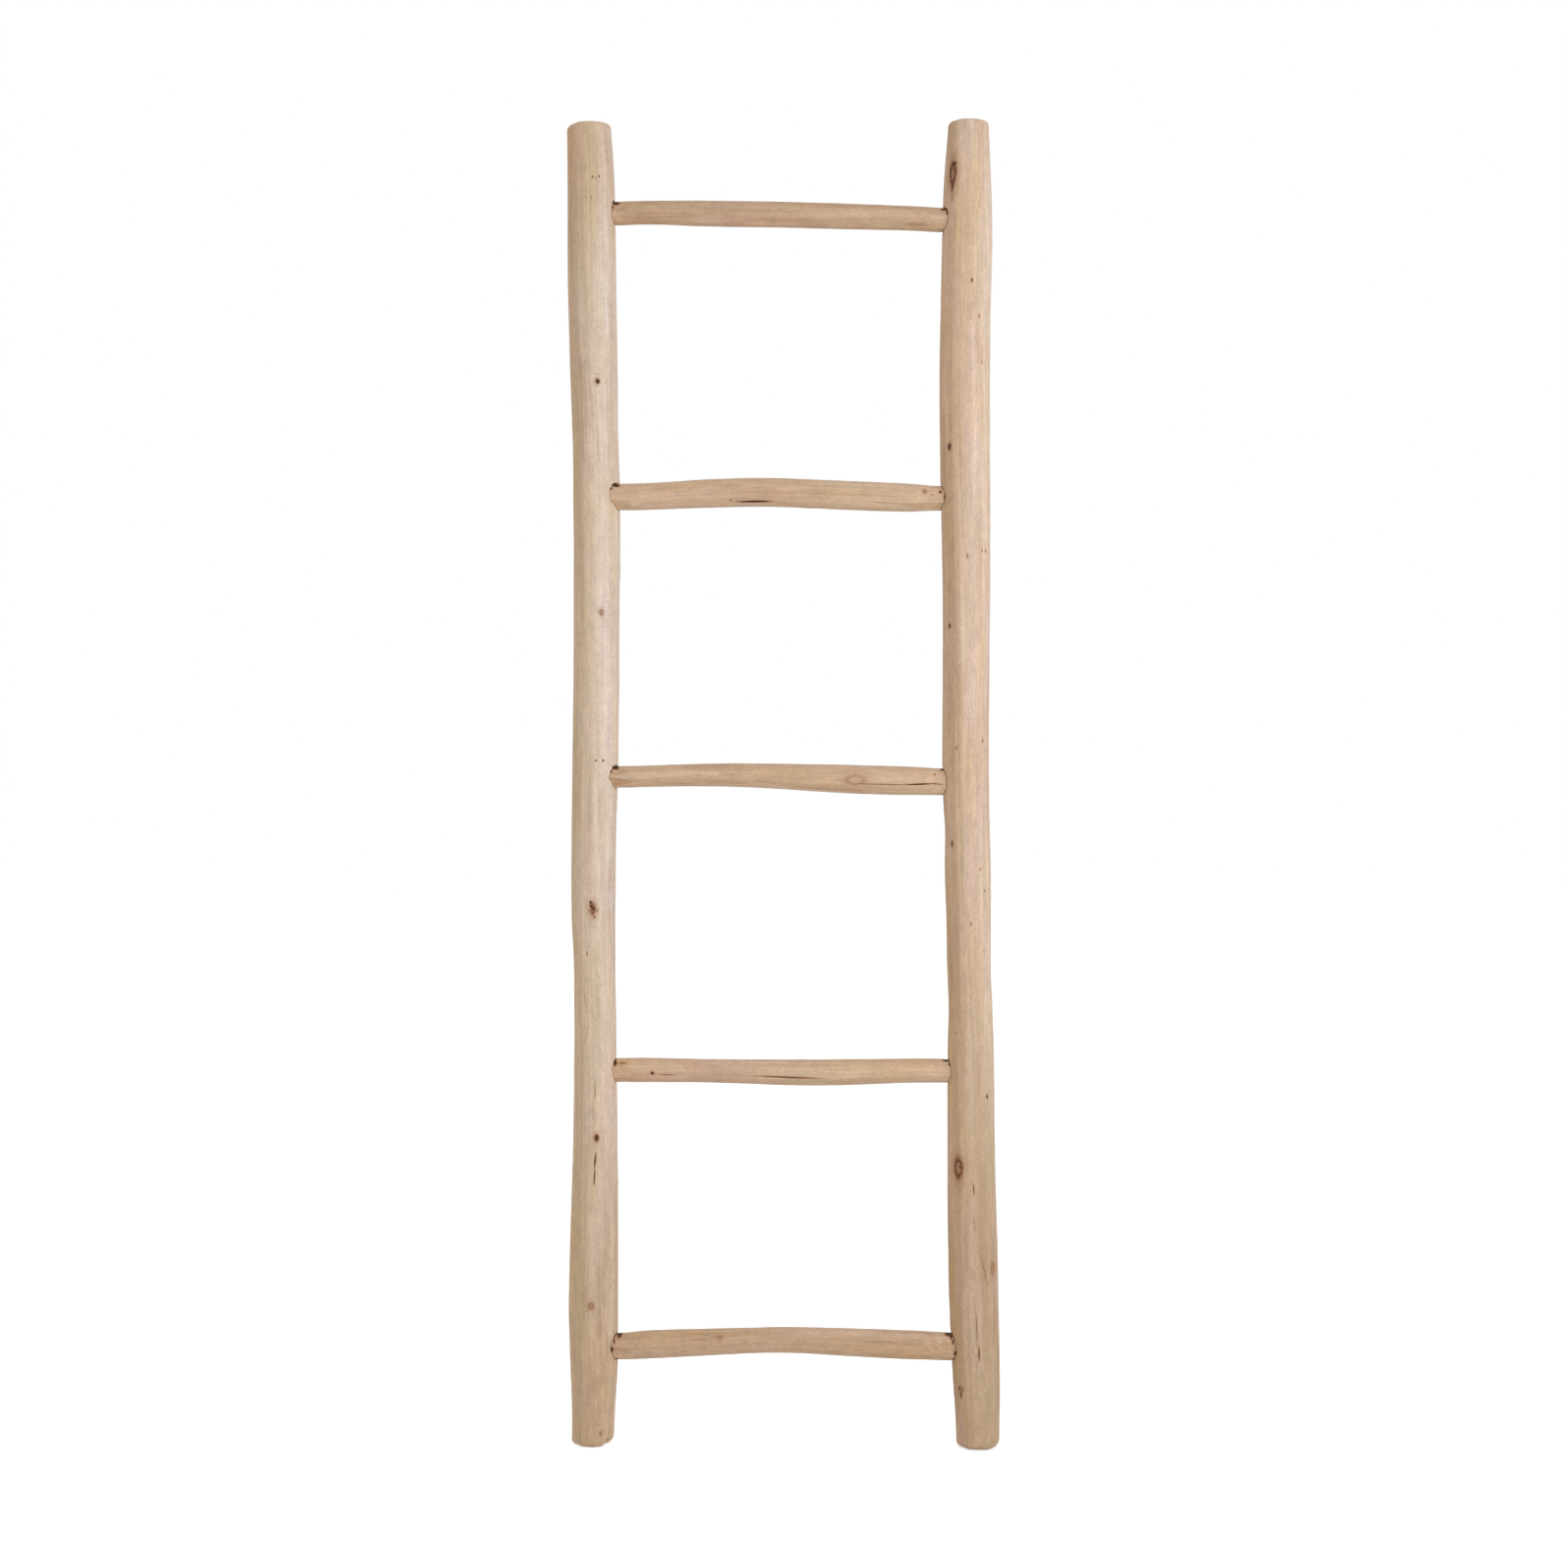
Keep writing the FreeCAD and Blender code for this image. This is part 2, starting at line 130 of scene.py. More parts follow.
class Pole:
    """A round piece of wood: its middle line, and its radius at each place and turn.

    Turns go anticlockwise from the first cross axis. On a stile 0 is the right and -90
    degrees the front. On a rung 180 degrees is the front and 90 the top.
    """

    def __init__(self, node, axis, turns, holes, hole_reach):
        self.node = node
        self.axis = axis
        self.cross = ((axis + 1) % 3, (axis + 2) % 3)
        self.turns = np.arange(turns) * FULL_TURN / turns
        low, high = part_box(node)
        self.low, self.high = low[axis], high[axis]
        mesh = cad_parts[node].data
        points = [vertex.co for vertex in mesh.vertices]
        faces = [tuple(polygon.vertices) for polygon in mesh.polygons]
        self.tree = BVHTree.FromPolygons(points, faces)
        self.read(holes, hole_reach)

    def read(self, holes, hole_reach):
        """Read rounds from outside, but none where a hole goes in."""
        first, last = self.low + READ_STEP / 2, self.high - READ_STEP / 2
        found = np.linspace(first, last, int((last - first) / READ_STEP) + 1)
        clear = np.all([abs(found - hole) > hole_reach for hole in holes], axis=0)
        found = found[clear]
        low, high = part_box(self.node)
        middle = [(low[axis] + high[axis]) / 2 for axis in self.cross]
        rounds = []
        for place in found:
            middle, radii = self.read_round(place, middle)
            rounds.append([*middle, *radii])
        count = int(round((self.high - self.low) / SHAPE_STEP)) + 1
        self.places = np.linspace(self.low, self.high, count)
        table = resampled(self.places, found, np.array(rounds))
        self.middle, self.radii = table[:, :2], table[:, 2:]

    def read_round(self, place, middle):
        """A round's middle, found in steps from a first guess, and its radii."""
        for _ in range(CENTRING_STEPS):
            middle = self.round_hits(place, middle).mean(0)
        return middle, np.linalg.norm(self.round_hits(place, middle) - middle, axis=1)

    def round_hits(self, place, middle):
        hits = [self.hit(place, turn, middle) for turn in self.turns]
        return np.array([[point[axis] for axis in self.cross] for point in hits])

    def hit(self, place, turn, middle):
        """The point of the solid that a ray meets on its way in to the middle."""
        outward = Vector((0, 0, 0))
        outward[self.cross[0]] = math.cos(turn)
        outward[self.cross[1]] = math.sin(turn)
        start = outward * RAY_START
        start[self.axis] = place
        start[self.cross[0]] += middle[0]
        start[self.cross[1]] += middle[1]
        return self.tree.ray_cast(start, -outward)[0]

    def soften(self, along, round_about):
        """Smooth the shape over metres along and radians round about."""
        self.middle = blurred(self.middle, along / SHAPE_STEP, 0, False)
        self.radii = blurred(self.radii, along / SHAPE_STEP, 0, False)
        step = FULL_TURN / len(self.turns)
        self.radii = blurred(self.radii, round_about / step, 1, True)

    def roughen(self, amount, seed, along, round_about):
        """Add random hills, so many along the pole and so many round about it."""
        hills = ripple(seed, along, round_about, self.radii.shape)
        self.radii = self.radii + amount * hills

    def middle_at(self, places):
        return resampled(places, self.places, self.middle)

    def radii_at(self, places):
        return resampled(places, self.places, self.radii)

    def radius_at(self, places, turns):
        return self.value_at(self.radii, places, turns)

    def value_at(self, table, places, turns):
        """A table's value at any places and turns, between the ones that it holds."""
        row = (places - self.low) / (self.high - self.low) * (len(self.places) - 1)
        column = (turns % FULL_TURN) / FULL_TURN * len(self.turns)
        return between(table, row.clip(0, len(self.places) - 1.001), column)

    def flatness(self, points):
        """1 where a point lies on a whittled flat, and 0 where it lies off them."""
        seen = self.straightened(points)
        turns = np.arctan2(seen[..., 1], seen[..., 0])
        sunk = self.value_at(self.whittled, seen[..., 2], turns)
        return (sunk / CLEAR_CUT).clip(0, 1)

    def straightened(self, points):
        """Points as seen from the middle line: two cross distances and the place along."""
        seen = np.roll(points, -self.axis - 1, -1)
        seen[..., :2] -= self.middle_at(seen[..., 2])
        return seen

    def placed(self, first, second, places):
        """Points or vectors from their two cross parts and their part along the pole."""
        parts = np.stack(np.broadcast_arrays(first, second, places), -1)
        return np.roll(parts, self.axis + 1, -1)

    def depth(self, points):
        """How deep points lie under the skin. Outside it is below zero."""
        first, second, places = np.moveaxis(self.straightened(points), -1, 0)
        return self.radius_at(places, np.arctan2(second, first)) - np.hypot(first, second)

    def skin(self, places, radii=None):
        """Rows of points: a row for each place, or a place of its own for each point."""
        radii = self.radii_at(places) if radii is None else radii
        places = places if places.ndim == 2 else places[:, None]
        middle = self.middle_at(places)
        first = middle[..., 0] + radii * np.cos(self.turns)
        second = middle[..., 1] + radii * np.sin(self.turns)
        return self.placed(first, second, places)

    def spot(self, pixel):
        """The point of the solid that the photograph shows at a pixel."""
        return self.tree.ray_cast(CAMERA_PLACE, photo_ray(pixel))[0]


# --- helpers for shapes ---


def ripple(seed, rows, columns, shape):
    """Smooth random hills between -1 and 1. They join up round the columns."""
    hills = np.random.default_rng(seed).uniform(-1, 1, (rows + 1, columns))
    row = np.linspace(0, rows, shape[0]).clip(0, rows - 0.001)
    column = np.arange(shape[1]) * columns / shape[1]
    return between(hills, row[:, None], column[None, :], eased=True)


def apart_from(turns, direction):
    """How far turns lie from a direction in degrees, up to half a turn either way."""
    return (turns - math.radians(direction) + math.pi) % FULL_TURN - math.pi


def lobe(turns, direction, spread):
    """1 in one direction, falling away on both sides of it."""
    return np.exp(-((apart_from(turns, direction) / math.radians(spread)) ** 2))


def step_up(values, start, end):
    """0 up to one value, 1 past the other, and a smooth step between. It may lead down."""
    share = ((values - start) / (end - start)).clip(0, 1)
    return share * share * (3 - 2 * share)


def spaced(start, end, fine_places, fine_step, coarse_step, fine_reach):
    """Places from start to end, closer together near the fine places."""
    places = [start]
    while places[-1] < end:
        away = min(abs(places[-1] - place) for place in fine_places)
        share = min(max(away / fine_reach - 1, 0), 1)
        places.append(places[-1] + fine_step + (coarse_step - fine_step) * share)
    places = np.array(places)
    return start + (places - start) * (end - start) / (places[-1] - start)


def closed_mesh(name, shells):
    """One mesh of closed shells. A shell is rows of points, and a fan closes each end."""
    points, faces = [], []
    base = 0
    for rows in shells:
        count, turns = rows.shape[:2]
        corner = base + np.arange(count * turns).reshape(count, turns)
        beside = np.roll(corner, -1, 1)
        quads = np.stack([corner[:-1], beside[:-1], beside[1:], corner[1:]], -1)
        first, last = base + count * turns, base + count * turns + 1
        faces += quads.reshape(-1, 4).tolist()
        faces += [(first, b, a) for a, b in zip(corner[0].tolist(), beside[0].tolist())]
        faces += [(last, a, b) for a, b in zip(corner[-1].tolist(), beside[-1].tolist())]
        points += [rows.reshape(-1, 3), rows[0].mean(0)[None], rows[-1].mean(0)[None]]
        base += count * turns + 2
    mesh = bpy.data.meshes.new(name)
    mesh.from_pydata(np.concatenate(points).tolist(), [], faces)
    return mesh


def new_wood(node, rows):
    name = f"{node}_wood"
    return new_object(name, closed_mesh(name, [rows]))


def cut(piece, shells):
    """Cut closed shells, which don't touch each other, out of a piece."""
    cutter = new_object("cutter", closed_mesh("cutter", shells))
    modifier = piece.modifiers.new("cut", "BOOLEAN")
    modifier.operation = "DIFFERENCE"
    modifier.solver = "MANIFOLD"
    modifier.object = cutter
    graph = bpy.context.evaluated_depsgraph_get()
    piece.data = bpy.data.meshes.new_from_object(piece.evaluated_get(graph))
    piece.modifiers.clear()
    bpy.data.objects.remove(cutter)


def points_of(piece):
    flat = np.zeros(len(piece.data.vertices) * 3)
    piece.data.vertices.foreach_get("co", flat)
    return flat.reshape(-1, 3)


def keep_on_points(piece, name, values):
    """Keep a number or a vector for each point of a piece, for its material to read."""
    kind, field = ("FLOAT", "value") if values.ndim == 1 else ("FLOAT_VECTOR", "vector")
    attribute = piece.data.attributes.new(name, kind, "POINT")
    attribute.data.foreach_set(field, values.astype(np.float32).ravel())


SHARP_FROM = math.radians(38)


def finish(piece, node, material):
    """Give a piece its material and its shading, and its place in the frame."""
    piece.data.materials.clear()
    piece.data.materials.append(material)
    piece.data.shade_smooth()
    piece.data.set_sharp_from_angle(angle=SHARP_FROM)
    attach(piece, "root")
    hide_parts(node)


# --- marks in the wood ---

# Sizes of marks are in millimetres. Knots as the photograph shows them: pixel (two numbers),
# half width across the grain, half length along it, darkness, and how far it is a ring.
KNOTS = {
    "left_stile": [
        (609.7, 389, 1.8, 2.2, 1, 0), (613.6, 625, 2.2, 3, 0.4, 0.6),
        (604.9, 927.5, 3, 6, 0.5, 0.2), (608.7, 1161, 2, 3.2, 0.9, 0.2),
        (603, 1332.7, 2.6, 3.4, 0.4, 0.7),
    ],
    "right_stile": [
        (972.1, 177, 4.1, 11.8, 0.85, 1), (968.9, 456, 2, 3, 0.9, 0.1),
        (968.9, 638.7, 1.5, 2.2, 0.75, 0.1), (971.2, 861, 1.7, 2.5, 0.6, 0.2),
        (977.8, 1192, 5.4, 10, 0.65, 0.9), (1012.6, 1294.5, 3.2, 6.5, 0.35, 0.6),
        (979.6, 1419, 2.6, 5.4, 0.3, 0.7),
    ],
    "rung_5": [(935, 229, 2.2, 11, 0.22, 0)],
    "rung_4": [(943.5, 501, 2, 2, 0.4, 1)],
    "rung_3": [(873, 796, 5.5, 11, 0.22, 1)],
    "rung_2": [(665.7, 1095, 1.4, 1.5, 1, 0), (635, 1084.5, 2, 4.5, 0.3, 0)],
    "rung_1": [(735, 1365, 2, 2.3, 0.3, 1)],
}

# Pin holes and short scars: pixel, half width, half length and darkness.
DOTS = {
    "left_stile": [
        (604.6, 180.5, 0.6, 1, 0.7), (608, 181.3, 0.7, 0.8, 0.6), (611.4, 179.6, 0.6, 1.1, 0.8),
        (603, 201, 0.8, 2, 0.25), (608, 776, 0.7, 0.9, 0.65), (615.6, 776, 0.8, 1, 0.9),
        (608.9, 929.1, 0.8, 0.9, 0.6), (601, 928.8, 0.6, 0.9, 0.5), (604.1, 931.7, 0.8, 1, 0.6),
        (606.2, 935.5, 0.8, 1.3, 0.6), (599, 973, 0.6, 2.2, 0.45), (613, 1463, 1.6, 2.4, 0.3),
        (621, 1469, 1.4, 1.8, 0.3),
    ],
    "right_stile": [
        (991.7, 285.7, 0.7, 2, 0.7), (999.4, 322, 0.8, 2, 0.4), (1002, 370, 0.8, 1.6, 0.35),
        (987, 567, 0.7, 2.2, 0.4), (1002.2, 562, 0.6, 1.8, 0.55), (1005.6, 561.5, 0.6, 2, 0.65),
        (976, 763, 0.7, 1.7, 0.45), (1002.7, 756, 0.7, 1.6, 0.5), (1000, 887, 0.7, 1.2, 0.5),
        (1004, 909, 0.7, 1.2, 0.5), (991, 943, 0.7, 1.6, 0.45), (1004, 970.5, 0.7, 1.2, 0.5),
        (973.7, 1053.6, 0.5, 1, 0.6), (976, 1054.2, 0.5, 1, 0.6), (1007.5, 1119, 1.1, 2.2, 0.7),
        (975.8, 1185.6, 0.9, 1, 1), (979, 1190.4, 1, 1, 1), (975.6, 1197, 1, 0.9, 1),
    ],
    "rung_4": [(745.6, 510.5, 0.9, 1.1, 0.45), (951.4, 504.2, 0.7, 0.7, 0.4)],
    "rung_3": [(953.9, 789, 0.8, 0.7, 0.6)],
    "rung_1": [(760, 1370, 0.7, 2.2, 0.2)],
}

# Drying cracks and dark grain lines: both ends in pixels, half width and darkness.
CRACKS = {
    "left_stile": [
        (602.3, 919.3, 603.2, 922.7, 1.1, 1), (602, 923.3, 604.9, 927, 1.2, 1),
        (604, 926.2, 607.4, 928, 1.2, 0.95), (605.5, 381, 613.5, 382.5, 0.4, 0.3),
        (606, 393.5, 611, 394.5, 0.4, 0.3), (607, 1103, 607.5, 1122, 0.4, 0.35),
        (604.5, 1128, 606, 1146, 0.3, 0.25), (608, 1177, 606.5, 1192, 0.7, 0.8),
        (607, 1193, 606, 1209, 0.6, 0.75), (618, 1318, 629, 1302, 0.4, 0.25),
        (594, 1003, 600, 1040, 0.5, 0.2), (600.5, 1044, 594, 1078, 0.5, 0.18),
    ],
    "right_stile": [
        (970.6, 168.9, 975.4, 165.9, 1.7, 1), (969.6, 169.5, 969.2, 179, 1, 0.75),
        (975.3, 170.5, 975.5, 179, 0.8, 0.55), (972.2, 184.5, 971.5, 195.5, 1, 0.95),
        (971.6, 195, 971, 207, 0.5, 0.5), (977.9, 1414.8, 979.5, 1418.4, 1.1, 0.9),
        (981.9, 1415.5, 982.1, 1420.5, 0.8, 0.6), (980, 1419.5, 980.4, 1427, 0.9, 0.85),
        (1003, 186, 996, 222, 0.4, 0.2), (995.8, 1337, 997.5, 1372, 0.5, 0.45),
        (999, 1374.5, 999.3, 1389, 0.7, 0.65), (993, 1208, 994, 1219, 0.7, 0.5),
        (994, 1243, 995, 1256, 0.5, 0.3), (1000, 1280, 1008, 1312, 0.5, 0.4),
        (1015, 1318, 1014, 1372, 0.9, 0.25),
    ],
    "rung_4": [(754, 512, 786, 511.5, 1.1, 1), (880, 511, 935, 515, 0.8, 0.15)],
    "rung_3": [
        (872, 799.5, 930, 801, 0.4, 0.6), (925, 800.6, 952, 800.2, 0.6, 1),
        (950, 800.2, 962, 801, 0.4, 0.7), (655, 797, 720, 801, 0.5, 0.15),
        (800, 803, 870, 806, 0.8, 0.2),
    ],
    "rung_2": [(773, 1098, 836, 1100.5, 0.8, 0.6), (672, 1096.5, 690, 1097, 0.6, 0.35)],
    "rung_1": [(700, 1367, 730, 1368, 0.5, 0.2), (875, 1369, 925, 1370, 0.5, 0.15)],
}

# Dark pits and dark rims where rungs enter the stiles, painted shade of the gaps, partly stain
# on the rims: pixel, half width, half height and darkness, as seen from the front.
SHADED_PITS = [
    (628, 205.9, 2.6, 1.4, 1), (624.9, 210.5, 0.8, 1.4, 0.5), (963.4, 212.4, 2.6, 1, 0.9),
    (966.6, 216, 0.7, 2, 0.7), (961.8, 236.4, 1.2, 0.6, 0.5), (628.5, 495, 2.6, 1.3, 1),
    (623.6, 498.8, 1.2, 0.9, 0.5), (632, 520.8, 0.9, 0.7, 0.6), (959.6, 501.5, 1.2, 1.2, 0.75),
    (963.6, 506.5, 0.7, 2.4, 0.5), (627.7, 783.2, 2.3, 1.6, 1), (623.2, 787.5, 0.8, 1.2, 0.5),
    (961.6, 785.2, 1.4, 0.9, 0.85), (627.2, 1085.2, 1.2, 2.2, 0.95),
    (965.2, 1082.4, 2.2, 1.7, 1), (969, 1087, 0.7, 1.6, 0.55), (631.2, 1363.3, 1.9, 2.4, 1),
    (626.3, 1370, 0.8, 2.2, 0.6), (624, 1377.8, 1, 2.2, 0.9), (628.9, 1388.2, 1, 0.7, 0.6),
    (968.4, 1362.8, 2.8, 1.9, 1), (970.7, 1366, 0.9, 1.5, 0.9), (972.5, 1370.5, 0.8, 1.8, 0.75),
    (974.6, 1382, 1, 2, 0.9), (973.4, 1387.6, 1.2, 0.8, 0.5),
]
PIT_PLANE = -0.018  # along Y, about where the joints' rims show

CRACK_SHARE = 0.7  # a crack's half length as a share of half the way between its ends
MARK_REACH = 2.8  # in a mark's own half sizes
SCAR_LAYERS = ["scar_a", "scar_b", "scar_c", "scar_d", "scar_e"]
SCAR_ROOM = 0.012  # wished for between two marks of one layer
PIT_SLACK = 0.01  # a pit may lie this far outside a pole's box

# Relief of marks: height, and reach in half sizes.
KNOT_SWELL, KNOT_SWELL_REACH = 0.0005, 2.4
KNOT_HEART, KNOT_HEART_REACH = 0.0011, 0.7
SCAR_DEPTH, SCAR_REACH = 0.0009, 0.9

# How the grain bends round a knot and twists along a pole.
BEND_SHARE = 0.75
BEND_REACH = 5  # in half sizes, squared
TWIST = 0.4  # radians to a metre


class Mark:
    """An ellipse on a pole's skin, measured in its own half width and half length."""

    def __init__(self, pole, middle, direction, half_width, half_length, darkness, ring=0.0):
        self.spot = np.array(middle)
        away = pole.straightened(self.spot)[:2]
        self.girth = float(np.hypot(*away))
        self.outward = pole.placed(*(away / self.girth), 0)
        self.along = np.array(direction) / np.linalg.norm(direction)
        self.across = np.cross(self.along, self.outward)
        self.across /= np.linalg.norm(self.across)
        self.half_width = half_width * MILLIMETRE
        self.half_length = half_length * MILLIMETRE
        self.darkness, self.ring = darkness, ring

    def place(self, points):
        """Across and along in half sizes, and whether a point is on the mark's side."""
        apart = points - self.spot
        across = apart @ self.across / self.half_width
        along = apart @ self.along / self.half_length
        return across, along, apart @ self.outward > -self.girth

    def nearness(self, points, reach):
        across, along, near_side = self.place(points)
        return np.exp(-(across**2 + along**2) / reach**2) * near_side


def room_beside(mark, others):
    """How far a mark lies from the nearest of some others, past what they cover."""
    rooms = [np.inf]
    for other in others:
        apart = mark.spot - other.spot
        along = apart @ mark.along
        aside = np.linalg.norm(apart - along * mark.along)
        past_ends = abs(along) - 2 * (mark.half_length + other.half_length)
        past_sides = aside - 2 * (mark.half_width + other.half_width)
        rooms.append(max(past_ends, past_sides))
    return min(rooms)


def add_scar(marks, mark):
    """Put a mark in the first layer that has room for it."""
    rooms = [min(room_beside(mark, marks[layer]), SCAR_ROOM) for layer in SCAR_LAYERS]
    marks[SCAR_LAYERS[rooms.index(max(rooms))]].append(mark)


def shaded_pits_near(pole):
    """The joints' pits, painted shade of the gaps, that lie on a pole, all facing the front."""
    low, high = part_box(pole.node)
    pits = []
    for *pixel, width, height, darkness in SHADED_PITS:
        ray = photo_ray(pixel)
        spot = CAMERA_PLACE + ray * ((PIT_PLANE - CAMERA_PLACE.y) / ray.y)
        if all(low[i] - PIT_SLACK < spot[i] < high[i] + PIT_SLACK for i in (0, 2)):
            pit = Mark(pole, spot, (0, 0, 1), width, height, darkness)
            pit.outward = np.array((0, -1.0, 0))
            pit.across = np.array((1.0, 0, 0))
            pits.append(pit)
    return pits


def marks_of(pole):
    """A pole's marks in layers: knots, scars of every kind, and the joints' pits of painted
    shade.
    """
    marks = {name: [] for name in ["knot", *SCAR_LAYERS]}
    along = np.eye(3)[pole.axis]
    for *pixel, width, length, darkness, ring in KNOTS.get(pole.node, []):
        marks["knot"].append(Mark(pole, pole.spot(pixel), along, width, length, darkness, ring))
    for *ends, width, darkness in CRACKS.get(pole.node, []):
        start, end = pole.spot(ends[:2]), pole.spot(ends[2:])
        half = CRACK_SHARE * (end - start).length / 2 / MILLIMETRE
        add_scar(marks, Mark(pole, (start + end) / 2, end - start, width, half, darkness))
    for *pixel, width, length, darkness in DOTS.get(pole.node, []):
        add_scar(marks, Mark(pole, pole.spot(pixel), along, width, length, darkness))
    # The joints' pits: painted shade of the gaps where rungs enter the stiles
    for pit in shaded_pits_near(pole):
        add_scar(marks, pit)
    return marks


def add_unseen_marks(pole, marks, seed, count, back):
    """Small knots and cracks at random, on the side that the photograph hides."""
    random = np.random.default_rng(seed)
    along = np.eye(3)[pole.axis]
    for number in range(count):
        place = pole.low + (pole.high - pole.low) * (number + random.uniform(0.15, 0.85)) / count
        turn = math.radians(back + random.uniform(-85, 85))
        middle = pole.middle_at(place)
        radius = pole.radius_at(np.array([place]), np.array([turn]))[0]
        first = middle[0] + radius * math.cos(turn)
        spot = pole.placed(first, middle[1] + radius * math.sin(turn), place)
        size, darkness, ring = random.uniform((0.6, 0.35, 0.0), (1.2, 0.7, 1.0))
        if number % 2:
            add_scar(marks, Mark(pole, spot, along, 0.45, 12 * size, darkness))
        else:
            marks["knot"].append(Mark(pole, spot, along, 2.2 * size, 3.2 * size, 0.75, ring))


def keep_marks(piece, marks):
    """Write each layer's nearest mark to the points: across, along and darkness."""
    points = points_of(piece)
    rings = np.zeros(len(points))
    for layer, members in marks.items():
        nearest = np.zeros((len(points), 3))
        nearest[:, :2] = 2 * MARK_REACH
        least = np.full(len(points), np.inf)
        for mark in members:
            across, along, near_side = mark.place(points)
            away = np.where(near_side, np.hypot(across, along), np.inf)
            wins = away < least
            least[wins] = away[wins]
            darkness = mark.darkness * (away < MARK_REACH)
            nearest[wins] = np.stack([across, along, darkness], -1)[wins]
            if layer == "knot":
                rings[wins] = mark.ring
        keep_on_points(piece, layer, nearest)
    keep_on_points(piece, "ring", rings)


def keep_grain(piece, pole, marks, seed):
    """Write where each point lies in the wood: the grain bends round the knots."""
    points = points_of(piece)
    bent = points.copy()
    for knot in marks["knot"]:
        across, along, near_side = knot.place(points)
        near = np.exp(-(across**2 + along**2) / BEND_REACH) * near_side
        push = BEND_SHARE * near * across * knot.half_width
        bent -= push[:, None] * knot.across
    grain = pole.straightened(bent)
    twist = TWIST * grain[:, 2] + seed
    first = grain[:, 0] * np.cos(twist) - grain[:, 1] * np.sin(twist)
    second = grain[:, 0] * np.sin(twist) + grain[:, 1] * np.cos(twist)
    keep_on_points(piece, "grain", np.stack([first, second, grain[:, 2] + seed], -1))


def keep_tone(piece, side_shade_and_flat, painted_shade, sawn):
    """Write each point's painted side shade (on rungs, the tint of whittled flats), its painted
    shade, and whether it is sawn.
    """
    keep_on_points(piece, "tone", np.stack([side_shade_and_flat, painted_shade, sawn], -1))


def relief(rows, pole, marks):
    """Swell a little at knots, and sink at their hearts and along cracks."""
    flat = rows.reshape(-1, 3)
    height = np.zeros(len(flat))
    for knot in marks["knot"]:
        height += KNOT_SWELL * knot.nearness(flat, KNOT_SWELL_REACH)
        height -= KNOT_HEART * knot.darkness * knot.nearness(flat, KNOT_HEART_REACH)
    for layer in SCAR_LAYERS:
        for scar in marks[layer]:
            height -= SCAR_DEPTH * scar.darkness**2 * scar.nearness(flat, SCAR_REACH)
    first, second, _ = pole.straightened(flat).T
    outward = pole.placed(first, second, 0)
    outward /= np.linalg.norm(outward, axis=1)[:, None] + 1e-9
    return rows + (outward * height[:, None]).reshape(rows.shape)


# --- stiles ---

SIDES = ["left", "right"]
RUNGS = [1, 2, 3, 4, 5]
INWARD = {"left": 1, "right": -1}  # along X, from a stile towards the rungs

STILE_TURNS = 128
STILE_SOFTNESS = 0.010  # along the pole
JOINT_CLEAR = 0.022  # no rounds are read this near a joint, where the mortise opens
STILE_STEPS = (0.0012, 0.0036, 0.024)  # near the joints, elsewhere, and what counts as near
SWELLING_SPREAD = 60  # degrees

END_ROUND = 0.0035
END_UNEVEN = 0.22  # as a share of the rounding
END_ROUGH = 0.0006
FACE_SHARES = [0.05, 0.15, 0.3, 0.45, 0.6, 0.75, 0.9]
RIM_ANGLES = [0, 12, 26, 40, 54, 68, 80]

# Swellings and hollows of the shaved poles: height, direction (0 degrees is the right and
# -90 the front), growth, and reach along the pole.
SWELLINGS = {
    "left_stile": [
        (1.47, 0, -0.0019, 0.07), (1.4, 185, -0.0004, 0.05), (1.147, 0, -0.0009, 0.06),
        (1.147, 180, -0.0008, 0.06), (0.95, 0, -0.0006, 0.07), (0.69, 0, -0.0008, 0.05),
        (0.545, 180, -0.002, 0.04), (0.48, 180, -0.0013, 0.04), (0.04, 0, -0.0028, 0.035),
        (0.1, -40, -0.001, 0.04),
    ],
    "right_stile": [
        (1.49, 180, -0.002, 0.06), (1.45, 0, -0.0012, 0.05), (1.37, 0, 0.0013, 0.06),
        (1, 180, -0.0009, 0.13), (0.695, 180, -0.002, 0.035), (0.6, 180, -0.001, 0.05),
        (0.5, 180, -0.0017, 0.04), (0.66, 0, 0.0013, 0.06), (0.54, 0, -0.001, 0.03),
        (0.33, 0, -0.001, 0.06), (0.027, 180, -0.0019, 0.075), (0.015, 0, -0.0009, 0.04),
    ],
}

# How far the front of a sawn end falls away from its back: foot and top.
END_SLOPES = {"left_stile": (0.0006, 0.0019), "right_stile": (0.0012, 0.0009)}

# Wear on the rims of foot and top: direction, spread in degrees, and how much more is rounded.
END_WEAR = {
    "left_stile": (
        [(-12, 42, 0.0095), (-90, 40, 0.002), (-160, 35, 0.003)],
        [(195, 40, 0.0045), (5, 35, 0.0005)],
    ),
    "right_stile": (
        [(-160, 35, 0.0045), (-90, 45, 0.003), (-15, 35, 0.0045)],
        [(190, 35, 0.0015), (-10, 35, 0.001)],
    ),
}

SHADED_SIDE = 208  # degrees, the outer left of both stiles as the camera sees them, away from the lamp, painted darker as shade
SHADED_SPREAD = 56
# Painted shade where the light falls off: the height below which a stile gets darker, and the
# one where it is fully so. The top has a share of it, which grows over a span of heights too.
FOOT_SHADE_HEIGHTS = {"left": (0.68, 0), "right": (0.8, 0.12)}
TOP_SHADE = {"left": 0.55, "right": 0.15}
TOP_SHADE_SPAN = (1.28, 1.46)
SAWN_FOOT, SAWN_TOP = 0.0015, 0.0012  # from the ends, what counts as sawn


def joint_middle(side, rung):
    low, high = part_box(f"peg_{side}_{rung}")
    return (low + high) / 2


def joint_heights(side):
    return [joint_middle(side, rung).z for rung in RUNGS]


